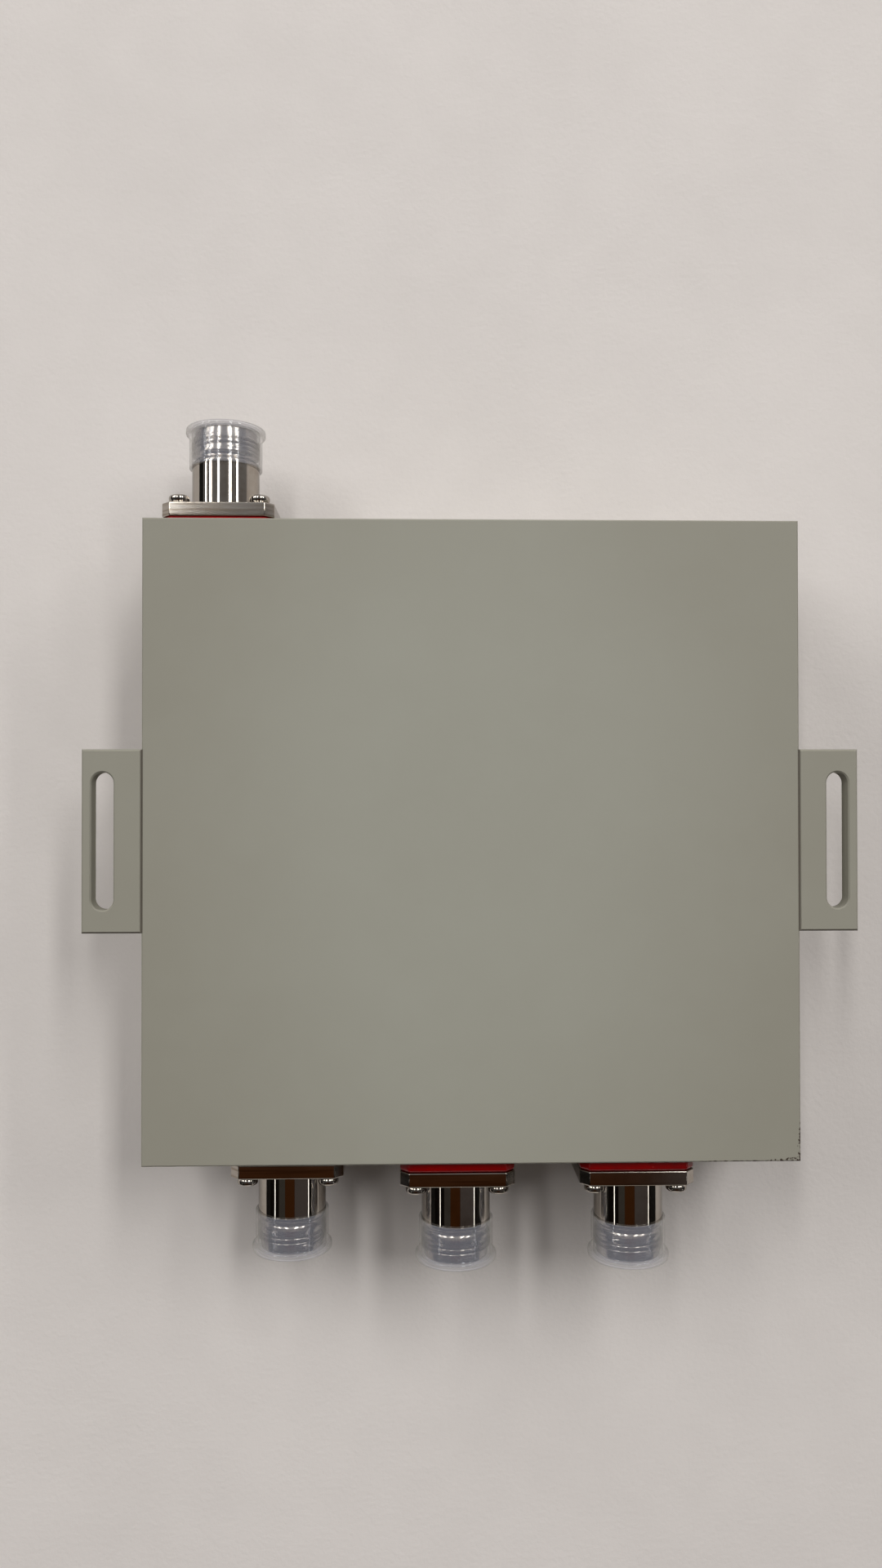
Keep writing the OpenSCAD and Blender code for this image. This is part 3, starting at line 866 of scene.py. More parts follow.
@dataclass(frozen=True)
class MilkyFilm(Finish):
    """Thin translucent moulding that lets the metal under it show, milkier where it is thick, with
    a painted reflection of the floor at slanted walls.

    Attributes:
        base: Colour of the haze.
        drift: Colour at the other end of the slow change.
        edge: Colour where the wall is seen at a slant, a painted reflection of the pale floor.
        painted_reflection_range: From which slant to which the painted reflection grows.
        thin: Cover of a thin wall.
        thick: Cover where the moulding is thick.
        uneven: Cover that the slow change adds.
        slant: Smallest cosine at which the haze still grows.
        roughness: Mean roughness.
        mirror: Refractive index, raised because the cover also weakens reflections.
        clouds: Slow changes of tone for each metre.
        grain: Height of the skin's grain.
        grain_scale: Grains for each metre.
    """

    base: Colour
    drift: Colour
    edge: Colour
    painted_reflection_range: Span = (0.15, 0.7)
    thin: float = 0.05
    thick: float = 0.14
    uneven: float = 0.02
    slant: float = 0.18
    roughness: float = 0.09
    mirror: float = 1.9
    clouds: float = 160.0
    grain: float = 0.002 * MM
    grain_scale: float = 900.0

    def fill(self, look: Look) -> None:
        """Adds the nodes of the film.

        Args:
            look: Graph of the new material.
        """
        tone = look.tone(self.clouds)
        slanted = look.node("LayerWeight", {"Blend": 0.5}).outputs["Facing"]
        body = look.mix(tone, self.base, self.drift)
        # Painted reflection: towards the slanted walls the colour turns to the pale floor's.
        look.set("Base Color", look.mix(look.ramp(slanted, *self.painted_reflection_range), body, self.edge))
        cover = look.ramp(look.read(Mark.HAZE), 0.0, 1.0, self.thin, self.thick)
        clear = look.minus(1.0, look.plus(cover, look.times(tone, self.uneven)))
        straight = look.most(look.minus(1.0, slanted), self.slant)
        clear = look.math("POWER", clear, look.math("DIVIDE", 1.0, straight))
        look.set("Alpha", look.minus(1.0, clear))
        look.set("IOR", self.mirror)
        look.set("Roughness", look.rough(tone, self.roughness))
        look.bump(look.effect(Effect.GRAIN, self.grain_scale), self.grain)


@dataclass(frozen=True)
class Foam(Finish):
    """Matt packing foam of the floor, which fades into the backdrop far from the object.

    Attributes:
        base: Main colour.
        drift: Colour at the other end of the slow change.
        backdrop: Colour that the camera and polished metal see far off.
        fade: Where the fade starts and ends, from the middle of the floor.
        roughness: Its roughness.
        gloss: Strength of its reflections.
        clouds: Slow changes of tone for each metre.
        cloud_range: Range of the drift that the change takes in.
        cells: Height of the foam's cells.
        cell_scale: Cells for each metre.
    """

    base: Colour
    drift: Colour
    backdrop: Colour
    fade: Span = (0.35, 1.2)
    roughness: float = 0.9
    gloss: float = 0.1
    clouds: float = 14.0
    cloud_range: Span = (-0.9, 0.9)
    cells: float = 0.10 * MM
    cell_scale: float = 700.0

    def fill(self, look: Look) -> None:
        """Adds the foam's nodes.

        Args:
            look: Graph of the new material.
        """
        x, y, _ = look.split(look.where)
        seen = look.rays(Ray.CAMERA, Ray.GLOSSY, Ray.TRANSMISSION)
        far = look.times(look.ramp(look.length(x, y), *self.fade), seen)
        near = look.mix(look.tone(self.clouds, *self.cloud_range), self.base, self.drift)
        look.set("Base Color", look.mix(far, near, srgb(0, 0, 0)))
        look.set("Emission Color", self.backdrop)
        look.set("Emission Strength", far)
        look.set("Roughness", self.roughness)
        look.set("Specular IOR Level", self.gloss)
        look.bump(look.effect(Effect.GRAIN, self.cell_scale), self.cells)


@dataclass(frozen=True)
class Port:
    """One coaxial port, found from the frame.

    Attributes:
        PORTS: Name, end wall and mounted quarter turns of each port.
        name: Name of the port.
        side: The end wall that it leaves through.
        wall: Where its axis meets the end wall.
        quarters: Quarter turns that its connector was mounted with.
    """

    PORTS = (
        ("common", Side.UPPER, 3),
        ("low", Side.LOWER, 1),
        ("mid", Side.LOWER, 0),
        ("high", Side.LOWER, 1),
    )

    name: str
    side: Side
    wall: Vector
    quarters: int

    @classmethod
    def find(cls, name: str, side: Side, quarters: int) -> "Port":
        """Finds a port by its gasket.

        Args:
            name: Name of the port.
            side: The end wall that it leaves through.
            quarters: Quarter turns that its connector was mounted with.

        Returns:
            The port.
        """
        low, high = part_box(f"{name}_flange_gasket")
        wall = (low + high) / 2
        wall.y = low.y if side is Side.UPPER else high.y
        return cls(name, side, wall, quarters)

    @classmethod
    def find_all(cls) -> list["Port"]:
        """Finds all ports of the object."""
        return [cls.find(*port) for port in cls.PORTS]

    @property
    def place(self) -> Matrix:
        """Place of a connector piece that is drawn along +Z from the wall.

        Returns:
            The place.
        """
        outwards = Matrix.Rotation(-QUARTER_TURN * self.side.value, 4, "X")
        mounted = Matrix.Rotation(self.quarters * QUARTER_TURN, 4, "Z")
        return Matrix.Translation(self.wall) @ outwards @ mounted


class FinishShop:
    """Makes the material of each slot and dresses pieces in them.

    Attributes:
        materials: The materials of the record's slots.
        foam: Material of the floor.
        black: Material of the black cards.
    """

    def __init__(self) -> None:
        """Makes all materials."""
        effects = Effects()
        self.materials = {
            slot: finish.build(slot.value, effects) for slot, finish in self.finishes().items()
        }
        foam = Foam(srgb(215, 209, 205), srgb(209, 203, 199), Studio.BACKDROP)
        black = Moulded(srgb(16, 14, 12), srgb(12, 11, 10), srgb(14, 12, 11), roughness=0.9)
        self.foam = foam.build("floor", effects)
        self.black = black.build("flag", effects)

    @staticmethod
    def finishes() -> dict[Slot, Finish]:
        """Lists the finish of each slot.

        Returns:
            The finishes, by slot.
        """
        low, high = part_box("housing")
        worn_corner = (high.x, low.y, high.z)
        red = (srgb(126, 2, 4), srgb(104, 1, 3), srgb(190, 120, 115))
        white = (srgb(236, 234, 228), srgb(228, 225, 217), srgb(205, 200, 190))
        return {
            # Clean paint, the colour of the clouds and of the painted falloff of light at the
            # sides, then the chips' bare metal.
            Slot.GREY_PAINT: Paint(
                srgb(151, 150, 139), srgb(139, 136, 124), srgb(58, 44, 36), worn_corner),
            Slot.BRIGHT_NICKEL: Metal(
                srgb(182, 176, 168), srgb(152, 141, 128), roughness=0.05, dulling=0.03),
            Slot.RED_SILICONE: Moulded(*red, roughness=0.22),
            # Haze, its drift, then the painted reflection of the floor at the caps' slanted walls.
            Slot.CLEAR_CAP: MilkyFilm(
                srgb(196, 199, 213), srgb(188, 190, 203), srgb(182, 179, 174)),
            Slot.WHITE_INSULATOR: Moulded(*white, roughness=0.42),
            Slot.GOLD_CONTACT: Metal(srgb(222, 186, 108), srgb(196, 152, 78), roughness=0.18),
            Slot.SILVER_PLATE: Metal(srgb(222, 221, 216), srgb(196, 190, 178), roughness=0.26),
            Slot.SILVERED_BRASS: Metal(srgb(216, 212, 200), srgb(190, 178, 150), roughness=0.24),
            Slot.PLAIN_BRASS: Metal(srgb(206, 174, 106), srgb(170, 134, 74), roughness=0.24),
            Slot.STEEL: Metal(srgb(196, 194, 190), srgb(164, 156, 148), roughness=0.16),
        }

    def dress(self, piece: Piece, slot: Slot) -> None:
        """Gives a piece its finish.

        Args:
            piece: The piece.
            slot: Slot of the finish.
        """
        piece.data.materials.clear()
        piece.data.materials.append(self.materials[slot])

    def dress_frame(self) -> list[Piece]:
        """Gives every node of the frame its finish, by the slot in the record.

        Returns:
            The nodes.
        """
        nodes = list(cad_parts.values())
        for node in nodes:
            self.dress(node, Slot(node.data.materials[0].name.split(".")[0]))
        return nodes

    def settle(self, piece: Piece, slot: Slot, body: str, node: str) -> None:
        """Finishes a piece and lets it stand for a node of the frame.

        Args:
            piece: The piece.
            slot: Slot of its finish.
            body: Body that carries it.
            node: The node that it replaces.
        """
        self.dress(piece, slot)
        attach(piece, body)
        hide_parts(node)

    def at_ports(
        self, template: Piece, ports: Sequence[Port], suffix: str, slot: Slot, body: str = ""
    ) -> list[Piece]:
        """Puts a copy of a template at each port; the template is used up.

        Args:
            template: The piece, drawn along +Z from the wall.
            ports: The ports.
            suffix: End of the names of the nodes that the copies replace.
            slot: Slot of the finish.
            body: Suffix of each port's own body, or nothing for the fixed one.

        Returns:
            The copies.
        """
        pieces = []
        for port in ports:
            piece = Bench.copies(template, [port.place], f"{port.name}_{suffix}_visual")
            carrier = f"{port.name}_{body}" if body else ROOT_BODY
            self.settle(piece, slot, carrier, f"{port.name}_{suffix}")
            pieces.append(piece)
        bpy.data.objects.remove(template)
        return pieces


def upright(edge: bmesh.types.BMEdge) -> bool:
    """Says whether an edge stands along Z."""
    first, second = (vertex.co for vertex in edge.verts)
    return (first.xy - second.xy).length < SAME_PLACE


def level_at(*heights: float) -> Callable[[bmesh.types.BMEdge], bool]:
    """Makes a test for edges that lie at one of some heights."""
    return lambda edge: any(
        all(abs(vertex.co.z - height) < SAME_PLACE for vertex in edge.verts) for height in heights)


@dataclass(frozen=True)
class Plate:
    """Square plate with chamfered corners: a flange or its gasket.

    Attributes:
        width: Side of the square.
        bottom: Height of its lower face.
        thick: Thickness.
        corner: Leg of the corner chamfers.
        upright_round: Rounding of the upright edges.
        outline_round: Rounding of the two outlines.
        steps: Facets of each rounding.
    """

    width: float
    bottom: float
    thick: float
    corner: float
    upright_round: float
    outline_round: float
    steps: int

    def build(self, name: str) -> Piece:
        """Models the plate.

        Args:
            name: Name of the piece.

        Returns:
            The plate.
        """
        top = self.bottom + self.thick
        size = (self.width, self.width, self.thick)
        piece = Bench.block(name, size, (0, 0, (self.bottom + top) / 2))
        bevels = (
            (upright, self.corner, 1),
            (upright, self.upright_round, self.steps),
            (level_at(self.bottom, top), self.outline_round, self.steps),
        )
        with Bench.editing(piece):
            for test, offset, steps in bevels:
                Bench.pick(piece, Pick.EDGE, test)
                bpy.ops.mesh.bevel(offset=offset, segments=steps, affect="EDGES")
        return piece


@dataclass(frozen=True)
class Connector:
    """Flanged connector body with its gasket, drawn along +Z from the end wall.

    Attributes:
        flange_w: Side of the flange.
        flange_t: Thickness of the flange.
        flange_rounds: Rounding of the flange's upright edges and of its outlines.
        corner: Corner chamfer of flange and gasket.
        screw_out: Screw places from the axis, in X and Y.
        screw_hole_r: Radius of the screw holes.
        gasket_t: Thickness of the gasket.
        gasket_rounds: Rounding of the gasket's upright edges and of its outlines.
        spigot_r: Radius of the spigot in the gasket.
        spigot_play: Play round the spigot.
        barrel_r: Radius of the smooth barrel.
        polish_to: Where the polish of the barrel ends.
        shoulder: Where the smooth barrel ends.
        soft: Softness of the shoulder and of the thread's start.
        relief_r: Smallest radius of the relief behind the thread.
        relief_l: Length of the relief.
        relief_rise: How far the relief rises towards both ends.
        relief_steps: Rings in each half of the relief.
        thread_from: Where the thread starts.
        nose_from: Where the plain nose starts.
        nose_taper: How far the nose narrows.
        nose_chamfer: Chamfer at the nose's end.
        end: Outer end of the barrel.
        crest_r: Radius over the thread.
        root_r: Radius at the thread's root and of the nose.
        ridge_sunk: How far the ridge's foot lies in the core.
        ridge_foot: Width of the ridge at its foot.
        ridge_top: Width of the ridge at its crest.
        ridge_soft: Rounding of the crest.
        ridge_fade: Part of a turn in which the ridge grows or ends.
        ridge_steps: Facets of the ridge in a turn.
        pitch: Pitch of the thread.
        turns: Turns of the thread.
        mouth_r: Bore at the mouth.
        mouth_lead: Chamfer at the mouth.
        mating_face: Bottom of the mouth.
        throat_r: Bore behind the mating face.
        insulator_face: Front of the insulator.
        insulator_r: Bore for the insulator.
        past: How far a cutting tool reaches past what it cuts.
        sides: Points round the barrel.
        hole_sides: Points round a screw hole and round the gasket's hole.
    """

    flange_w: float = 25.4 * MM
    flange_t: float = 3.2 * MM
    flange_rounds: Span = (0.15 * MM, 0.3 * MM)
    corner: float = 2.0 * MM
    screw_out: float = 9.14 * MM
    screw_hole_r: float = 1.45 * MM
    gasket_t: float = 2.5 * MM
    gasket_rounds: Span = (0.45 * MM, 0.75 * MM)
    spigot_r: float = 5.95 * MM
    spigot_play: float = 0.05 * MM
    barrel_r: float = 7.85 * MM
    polish_to: float = 16.4 * MM
    shoulder: float = 17.3 * MM
    soft: float = 0.18 * MM
    relief_r: float = 7.1 * MM
    relief_l: float = 1.9 * MM
    relief_rise: float = 0.65 * MM
    relief_steps: int = 5
    thread_from: float = 19.6 * MM
    nose_from: float = 23.3 * MM
    nose_taper: float = 0.1 * MM
    nose_chamfer: float = 0.4 * MM
    end: float = 25.0 * MM
    crest_r: float = 7.94 * MM
    root_r: float = 7.3 * MM
    ridge_sunk: float = 0.06 * MM
    ridge_foot: float = 0.84 * MM
    ridge_top: float = 0.16 * MM
    ridge_soft: float = 0.1 * MM
    ridge_fade: float = 0.35
    ridge_steps: int = 72
    pitch: float = 1.058 * MM
    turns: int = 3
    mouth_r: float = 4.015 * MM
    mouth_lead: float = 0.25 * MM
    mating_face: float = 15.9 * MM
    throat_r: float = 3.5 * MM
    insulator_face: float = 11.5 * MM
    insulator_r: float = 4.35 * MM
    past: float = 0.5 * MM
    sides: int = 128
    hole_sides: tuple[int, int] = (32, 64)

    @property
    def flange_face(self) -> float:
        """Height of the flange's outer face."""
        return self.gasket_t + self.flange_t

    @property
    def screw_places(self) -> list[Matrix]:
        """Places of the four screws, on the flange's outer face."""
        outs = (-self.screw_out, self.screw_out)
        return [Matrix.Translation((x, y, self.flange_face)) for x in outs for y in outs]

    def drill(self, piece: Piece) -> None:
        """Cuts the four screw holes.

        Args:
            piece: A flange or a gasket.
        """
        reach = 3 * self.flange_face
        rings = [(self.screw_hole_r, -reach), (self.screw_hole_r, reach)]
        bit = Bench.turned("bit", rings, self.hole_sides[0])
        bits = Bench.copies(bit, self.screw_places, "bits")
        bpy.data.objects.remove(bit)
        Bench.combine(piece, bits, Merge.DIFFERENCE)

    def gasket(self) -> Piece:
        """Models the gasket.

        Returns:
            The gasket.
        """
        plate = Plate(self.flange_w, 0.0, self.gasket_t, self.corner, *self.gasket_rounds, steps=4)
        piece = plate.build("gasket")
        radius = self.spigot_r + self.spigot_play
        rings = [(radius, -self.gasket_t), (radius, 2 * self.gasket_t)]
        Bench.combine(piece, Bench.turned("hole", rings, self.hole_sides[1]), Merge.DIFFERENCE)
        self.drill(piece)
        Bench.smooth(piece)
        return piece

    def relief(self) -> list[Ring]:
        """Lists the rings of the hollow behind the thread, deepest in its middle.

        Returns:
            The rings.
        """
        rings = []
        for step in range(-self.relief_steps, self.relief_steps + 1):
            share = step / self.relief_steps
            height = self.shoulder + self.relief_l / 2 * (1 + share)
            rings.append((self.relief_r + self.relief_rise * share ** 2, height))
        return rings

    def barrel(self) -> Piece:
        """Turns the spigot, the barrel, the relief and the thread's core as one solid.

        Returns:
            The solid.
        """
        inside = self.gasket_t + self.flange_t / 2
        rounded = 0.3 * self.soft
        nose_r = self.root_r - self.nose_taper
        rings = [
            (self.spigot_r, 0.0),
            (self.spigot_r, inside),
            (self.barrel_r, inside),
            (self.barrel_r, self.polish_to),
            (self.barrel_r, self.shoulder - self.soft),
            (self.barrel_r - rounded, self.shoulder - rounded),
            *self.relief(),
            (self.relief_r + self.relief_rise, self.thread_from),
            (self.root_r, self.thread_from + self.soft),
            (self.root_r, self.nose_from),
            (nose_r, self.end - self.nose_chamfer),
            (nose_r - self.nose_chamfer, self.end),
        ]
        return Bench.turned("barrel", rings, self.sides)

    def bore(self) -> Piece:
        """Turns the solid that the shell's bore takes away.

        Returns:
            The solid.
        """
        wide_r = self.mouth_r + self.mouth_lead
        rings = [
            (self.insulator_r, -self.past),
            (self.insulator_r, self.insulator_face),
            (self.throat_r, self.insulator_face),
            (self.throat_r, self.mating_face),
            (self.mouth_r, self.mating_face),
            (self.mouth_r, self.end - self.mouth_lead),
            (wide_r, self.end),
            (wide_r, self.end + self.past),
        ]
        return Bench.turned("bore", rings, self.sides)

    def thread(self) -> Piece:
        """Sweeps the thread's ridge round the barrel and trims it at both ends.

        Returns:
            The ridge.
        """
        depth = self.crest_r - self.root_r + self.ridge_sunk
        start = (self.crest_r - depth / 2, 0, self.thread_from + self.ridge_foot / 2)
        Bench.put_down()
        bpy.ops.mesh.primitive_plane_add(size=1, location=start, rotation=(QUARTER_TURN, 0, 0))
        ridge = bpy.context.object
        ridge.name = "thread"
        ridge.scale = (depth, self.ridge_foot, 1)
        Bench.apply_all(ridge)
        with Bench.editing(ridge):
            Bench.pick(ridge, Pick.VERT, lambda vertex: vertex.co.x > start[0])
            narrow = self.ridge_top / self.ridge_foot
            bpy.ops.transform.resize(value=(1, 1, narrow), center_override=start)
            bpy.ops.mesh.bevel(offset=self.ridge_soft, segments=3, affect="VERTICES")
            Bench.pick(ridge, Pick.FACE, lambda face: True)
            bpy.ops.mesh.delete(type="ONLY_FACE")
        sweep = ridge.modifiers.new("sweep", "SCREW")
        sweep.screw_offset = self.pitch
        sweep.iterations = self.turns
        sweep.steps = sweep.render_steps = self.ridge_steps
        bpy.ops.object.modifier_apply(modifier=sweep.name)
        with Bench.editing(ridge):
            Bench.close_ends()
        self.trim(ridge, start[2])
        return ridge

    def trim(self, ridge: Piece, start: float) -> None:
        """Fades the ridge in and out over part of a turn, down to its foot.

        Args:
            ridge: The swept ridge.
            start: Height where its middle starts.
        """
        foot_r = self.root_r - self.ridge_sunk
        for vertex in ridge.data.vertices:
            radius = vertex.co.xy.length
            turned = math.atan2(vertex.co.y, vertex.co.x) / (2 * math.pi) % 1.0
            turned += round((vertex.co.z - start) / self.pitch - turned)
            share = min(1.0, turned / self.ridge_fade, (self.turns - turned) / self.ridge_fade)
            limit = foot_r + (self.crest_r - foot_r) * max(0.0, share)
            vertex.co.xy *= min(radius, limit) / radius

    def shell(self) -> Piece:
        """Models the plated body, and marks where it is milled and where its thread is cut.

        Returns:
            The body.
        """
        plate = Plate(
            self.flange_w, self.gasket_t, self.flange_t, self.corner, *self.flange_rounds, steps=3)
        piece = plate.build("shell")
        Bench.combine(piece, self.barrel(), Merge.UNION)
        Bench.combine(piece, self.bore(), Merge.DIFFERENCE)
        self.drill(piece)
        Bench.join(piece, self.thread())
        milled_r = self.barrel_r + 0.2 * MM
        cut_from = self.polish_to + 0.1 * MM
        Bench.mark(piece, Mark.MILLED, lambda point: float(point.xy.length > milled_r))
        Bench.mark(piece, Mark.CUT, lambda point: float(point.z > cut_from))
        Bench.smooth(piece)
        return piece

    def dress(self, ports: Sequence[Port], shop: FinishShop) -> list[Piece]:
        """Puts a dressed shell and a dressed gasket at each port.

        Args:
            ports: The ports.
            shop: Gives the pieces their finishes.

        Returns:
            The shells and the gaskets.
        """
        shells = shop.at_ports(self.shell(), ports, "connector_shell", Slot.BRIGHT_NICKEL)
        gaskets = shop.at_ports(self.gasket(), ports, "flange_gasket", Slot.RED_SILICONE)
        return shells + gaskets


@dataclass(frozen=True)
class DustCap:
    """Thin push-on cap over the thread, drawn along +Z from the end wall.

    Attributes:
        bore_r: Inner radius.
        rim: Where the open rim is.
        rim_r: Outer radius at the rim.
        neck_r: Outer radius under the brim.
        soft: Rounding of the thin edges.
        inside: Inner face of the closed end.
        outside: Outer face of the closed end.
        brim_r: Radius of the brim.
        brim_t: Thickness of the brim.
        brim_round: Rounding of the brim.
        bead_w: Width of the flat round the closed end.
        dish: How far the closed end lies below that flat.
        dish_slope: Width of the step down to it.
        gate_r: Radius of the moulding mark in the middle.
        gate_foot: Radii of the mark's flat and of the slope round it, in radii of the mark.
        gate_low: Share of the dish by which the mark lies below the flat.
        brim_fade: How far below the brim the haze starts.
        rim_fade: How far above the rim the haze ends.
        sides: Points round the cap.
    """

    bore_r: float = 8.02 * MM
    rim: float = 16.25 * MM
    rim_r: float = 8.5 * MM
    neck_r: float = 8.52 * MM
    soft: float = 0.1 * MM
    inside: float = 25.1 * MM
    outside: float = 25.65 * MM
    brim_r: float = 9.3 * MM
    brim_t: float = 1.6 * MM
    brim_round: float = 0.45 * MM
    bead_w: float = 0.9 * MM
    dish: float = 0.18 * MM
    dish_slope: float = 0.2 * MM
    gate_r: float = 0.9 * MM
    gate_foot: Span = (1.3, 2.0)
    gate_low: float = 0.4
    brim_fade: float = 0.5 * MM
    rim_fade: float = 0.3 * MM
    sides: int = 128

    @property
    def brim_low(self) -> float:
        """Height of the brim's lower face."""
        return self.outside - self.brim_t

    def skirt_rings(self) -> list[Ring]:
        """Lists the rings of the skirt, from the inner face down round the rim to the neck.

        Returns:
            The rings.
        """
        soft = self.soft
        rounded = 0.3 * soft
        fillet = 2 * soft
        return [
            (self.bore_r - fillet, self.inside),
            (self.bore_r, self.inside - fillet),
            (self.bore_r, self.rim + soft),
            (self.bore_r + rounded, self.rim + rounded),
            (self.bore_r + soft, self.rim),
            (self.rim_r - soft, self.rim),
            (self.rim_r - rounded, self.rim + rounded),
            (self.rim_r, self.rim + soft),
            (self.neck_r, self.brim_low - 2.5 * soft),
            (self.neck_r + soft, self.brim_low - soft),
        ]

    def brim_rings(self) -> list[Ring]:
        """Lists the rings round the brim's rounded edge, from the skirt to the end face.

        Returns:
            The rings.
        """
        middle_r = self.brim_r - self.brim_round
        low = self.brim_low + self.brim_round
        high = self.outside - self.brim_round
        rings = []
        for height, angles in ((low, (-90, -60, -30, 0)), (high, (0, 30, 60, 90))):
            for angle in map(math.radians, angles):
                radius = middle_r + self.brim_round * math.cos(angle)
                rings.append((radius, height + self.brim_round * math.sin(angle)))
        return rings

    def end_rings(self) -> list[Ring]:
        """Lists the rings of the dished end face, from the brim to the moulding mark.

        Returns:
            The rings.
        """
        bead_r = self.brim_r - self.bead_w
        dished = self.outside - self.dish
        mark = self.outside - self.gate_low * self.dish
        mark_foot, step_foot = self.gate_foot
        return [
            (bead_r, self.outside),
            (bead_r - self.dish_slope, dished),
            (step_foot * self.gate_r, dished),
            (mark_foot * self.gate_r, mark),
            (self.gate_r, mark),
        ]

    def haze(self, point: Vector) -> float:
        """Gives the share of full haze at a point: most at the brim and at the rim.

        Args:
            point: The point.

        Returns:
            The share.
        """
        at_brim = 1 + (point.z - self.brim_low) / self.brim_fade
        at_rim = 1 + (self.rim - point.z) / self.rim_fade
        return min(1.0, max(0.0, at_brim, at_rim))

    def build(self) -> Piece:
        """Turns the cap and marks where it is thick.

        Returns:
            The cap.
        """
        middle = (self.gate_r, self.inside)
        rings = [middle, *self.skirt_rings(), *self.brim_rings(), *self.end_rings()]
        piece = Bench.turned("cap", rings, self.sides)
        Bench.mark(piece, Mark.HAZE, self.haze)
        Bench.smooth(piece)
        return piece

    def dress(self, ports: Sequence[Port], shop: FinishShop) -> list[Piece]:
        """Puts a dressed cap at each port, on a body of its own."""
        return shop.at_ports(self.build(), ports, "dust_cap", Slot.CLEAR_CAP, "cap")


@dataclass(frozen=True)
class Screw:
    """A screw with its head's seat or face at z = 0 and its shank along -Z.

    Attributes:
        head_r: Radius of the head.
        head_h: Height of a pan head or depth of a countersunk one.
        rim_h: Height of a pan head's upright rim, 0 for a countersunk head.
        shank_r: Radius of the shank.
        length: Length below z = 0.
        drive: Kind of driver recess.
        drive_w: Width over the recess.
        drive_deep: Depth of the recess.
        tip: Chamfer of the shank's end, as a share of its radius.
        edge: Chamfer round a countersunk head.
        full: Fullness of a pan head's dome, where 1 is an ellipse.
        under: How far a pan head draws in at its seat.
        arm: Width of a cross's arms, as a share of their length.
        arm_taper: Size of the cross at its floor, along and across an arm.
        hex_tip: Radius and depth of the point below a hexagon, as shares of its radius.
        sides: Points round the screw.
        round_angle: Largest angle in degrees that looks round.
    """

    head_r: float
    head_h: float
    rim_h: float
    shank_r: float
    length: float
    drive: Drive
    drive_w: float
    drive_deep: float
    tip: float = 0.25
    edge: float = 0.04 * MM
    full: float = 0.72
    under: float = 0.5 * MM
    arm: float = 0.26
    arm_taper: Span = (0.45, 0.7)
    hex_tip: Span = (0.3, 0.2)
    sides: int = 48
    round_angle: float = 28.0

    def pan_rings(self) -> list[Ring]:
        """Lists the rings of a pan head, from its seat to the top of its dome.

        Returns:
            The rings.
        """
        crown = self.head_h - self.rim_h
        rings = [
            (self.head_r - self.under * (1 - share) ** 2, self.rim_h * share)
            for share in (0.0, 0.2, 0.4, 0.6, 0.8)
        ]
        for angle in map(math.radians, (0, 4, 10, 18, 28, 40, 52, 64, 75, 83)):
            radius = self.head_r * math.cos(angle) ** self.full
            rings.append((radius, self.rim_h + crown * math.sin(angle) ** self.full))
        return rings

    def rings(self) -> list[Ring]:
        """Lists the rings of shank and head.

        Returns:
            The rings.
        """
        tip = self.tip * self.shank_r
        shank = [(self.shank_r - tip, -self.length), (self.shank_r, tip - self.length)]
        if self.rim_h:
            return [*shank, (self.shank_r, 0.0), *self.pan_rings()]
        cone = [(self.shank_r, -self.head_h), (self.head_r, -self.edge)]
        return [*shank, *cone, (self.head_r - self.edge, 0.0)]

    def recess(self) -> Piece:
        """Models the solid that the driver recess takes away.

        Returns:
            The solid.
        """
        top = self.head_h if self.rim_h else 0.0
        floor = top - self.drive_deep
        if self.drive is Drive.HEX:
            tool_r = self.drive_w / 2 / math.cos(math.pi / 6)
            point = (self.hex_tip[0] * tool_r, floor - self.hex_tip[1] * tool_r)
            return Bench.turned("recess", [point, (tool_r, floor), (tool_r, top + MM)], 6)
        size = (self.drive_w, self.arm * self.drive_w, self.drive_deep + MM)
        arm = Bench.block("arm", size, (0, 0, floor + size[2] / 2))
        with Bench.editing(arm):
            Bench.pick(arm, Pick.FACE, lambda face: face.normal.z < -0.5)
            bpy.ops.transform.resize(value=(*self.arm_taper, 1), center_override=(0, 0, floor))
        cross = Bench.copies(arm, [Matrix.Rotation(QUARTER_TURN, 4, "Z")], "cross")
        Bench.combine(cross, arm, Merge.UNION)
        return cross

    def build(self) -> Piece:
        """Models the screw.

        Returns:
            The screw.
        """
        piece = Bench.turned("screw", self.rings(), self.sides)
        Bench.combine(piece, self.recess(), Merge.DIFFERENCE)
        Bench.smooth(piece, self.round_angle)
        return piece


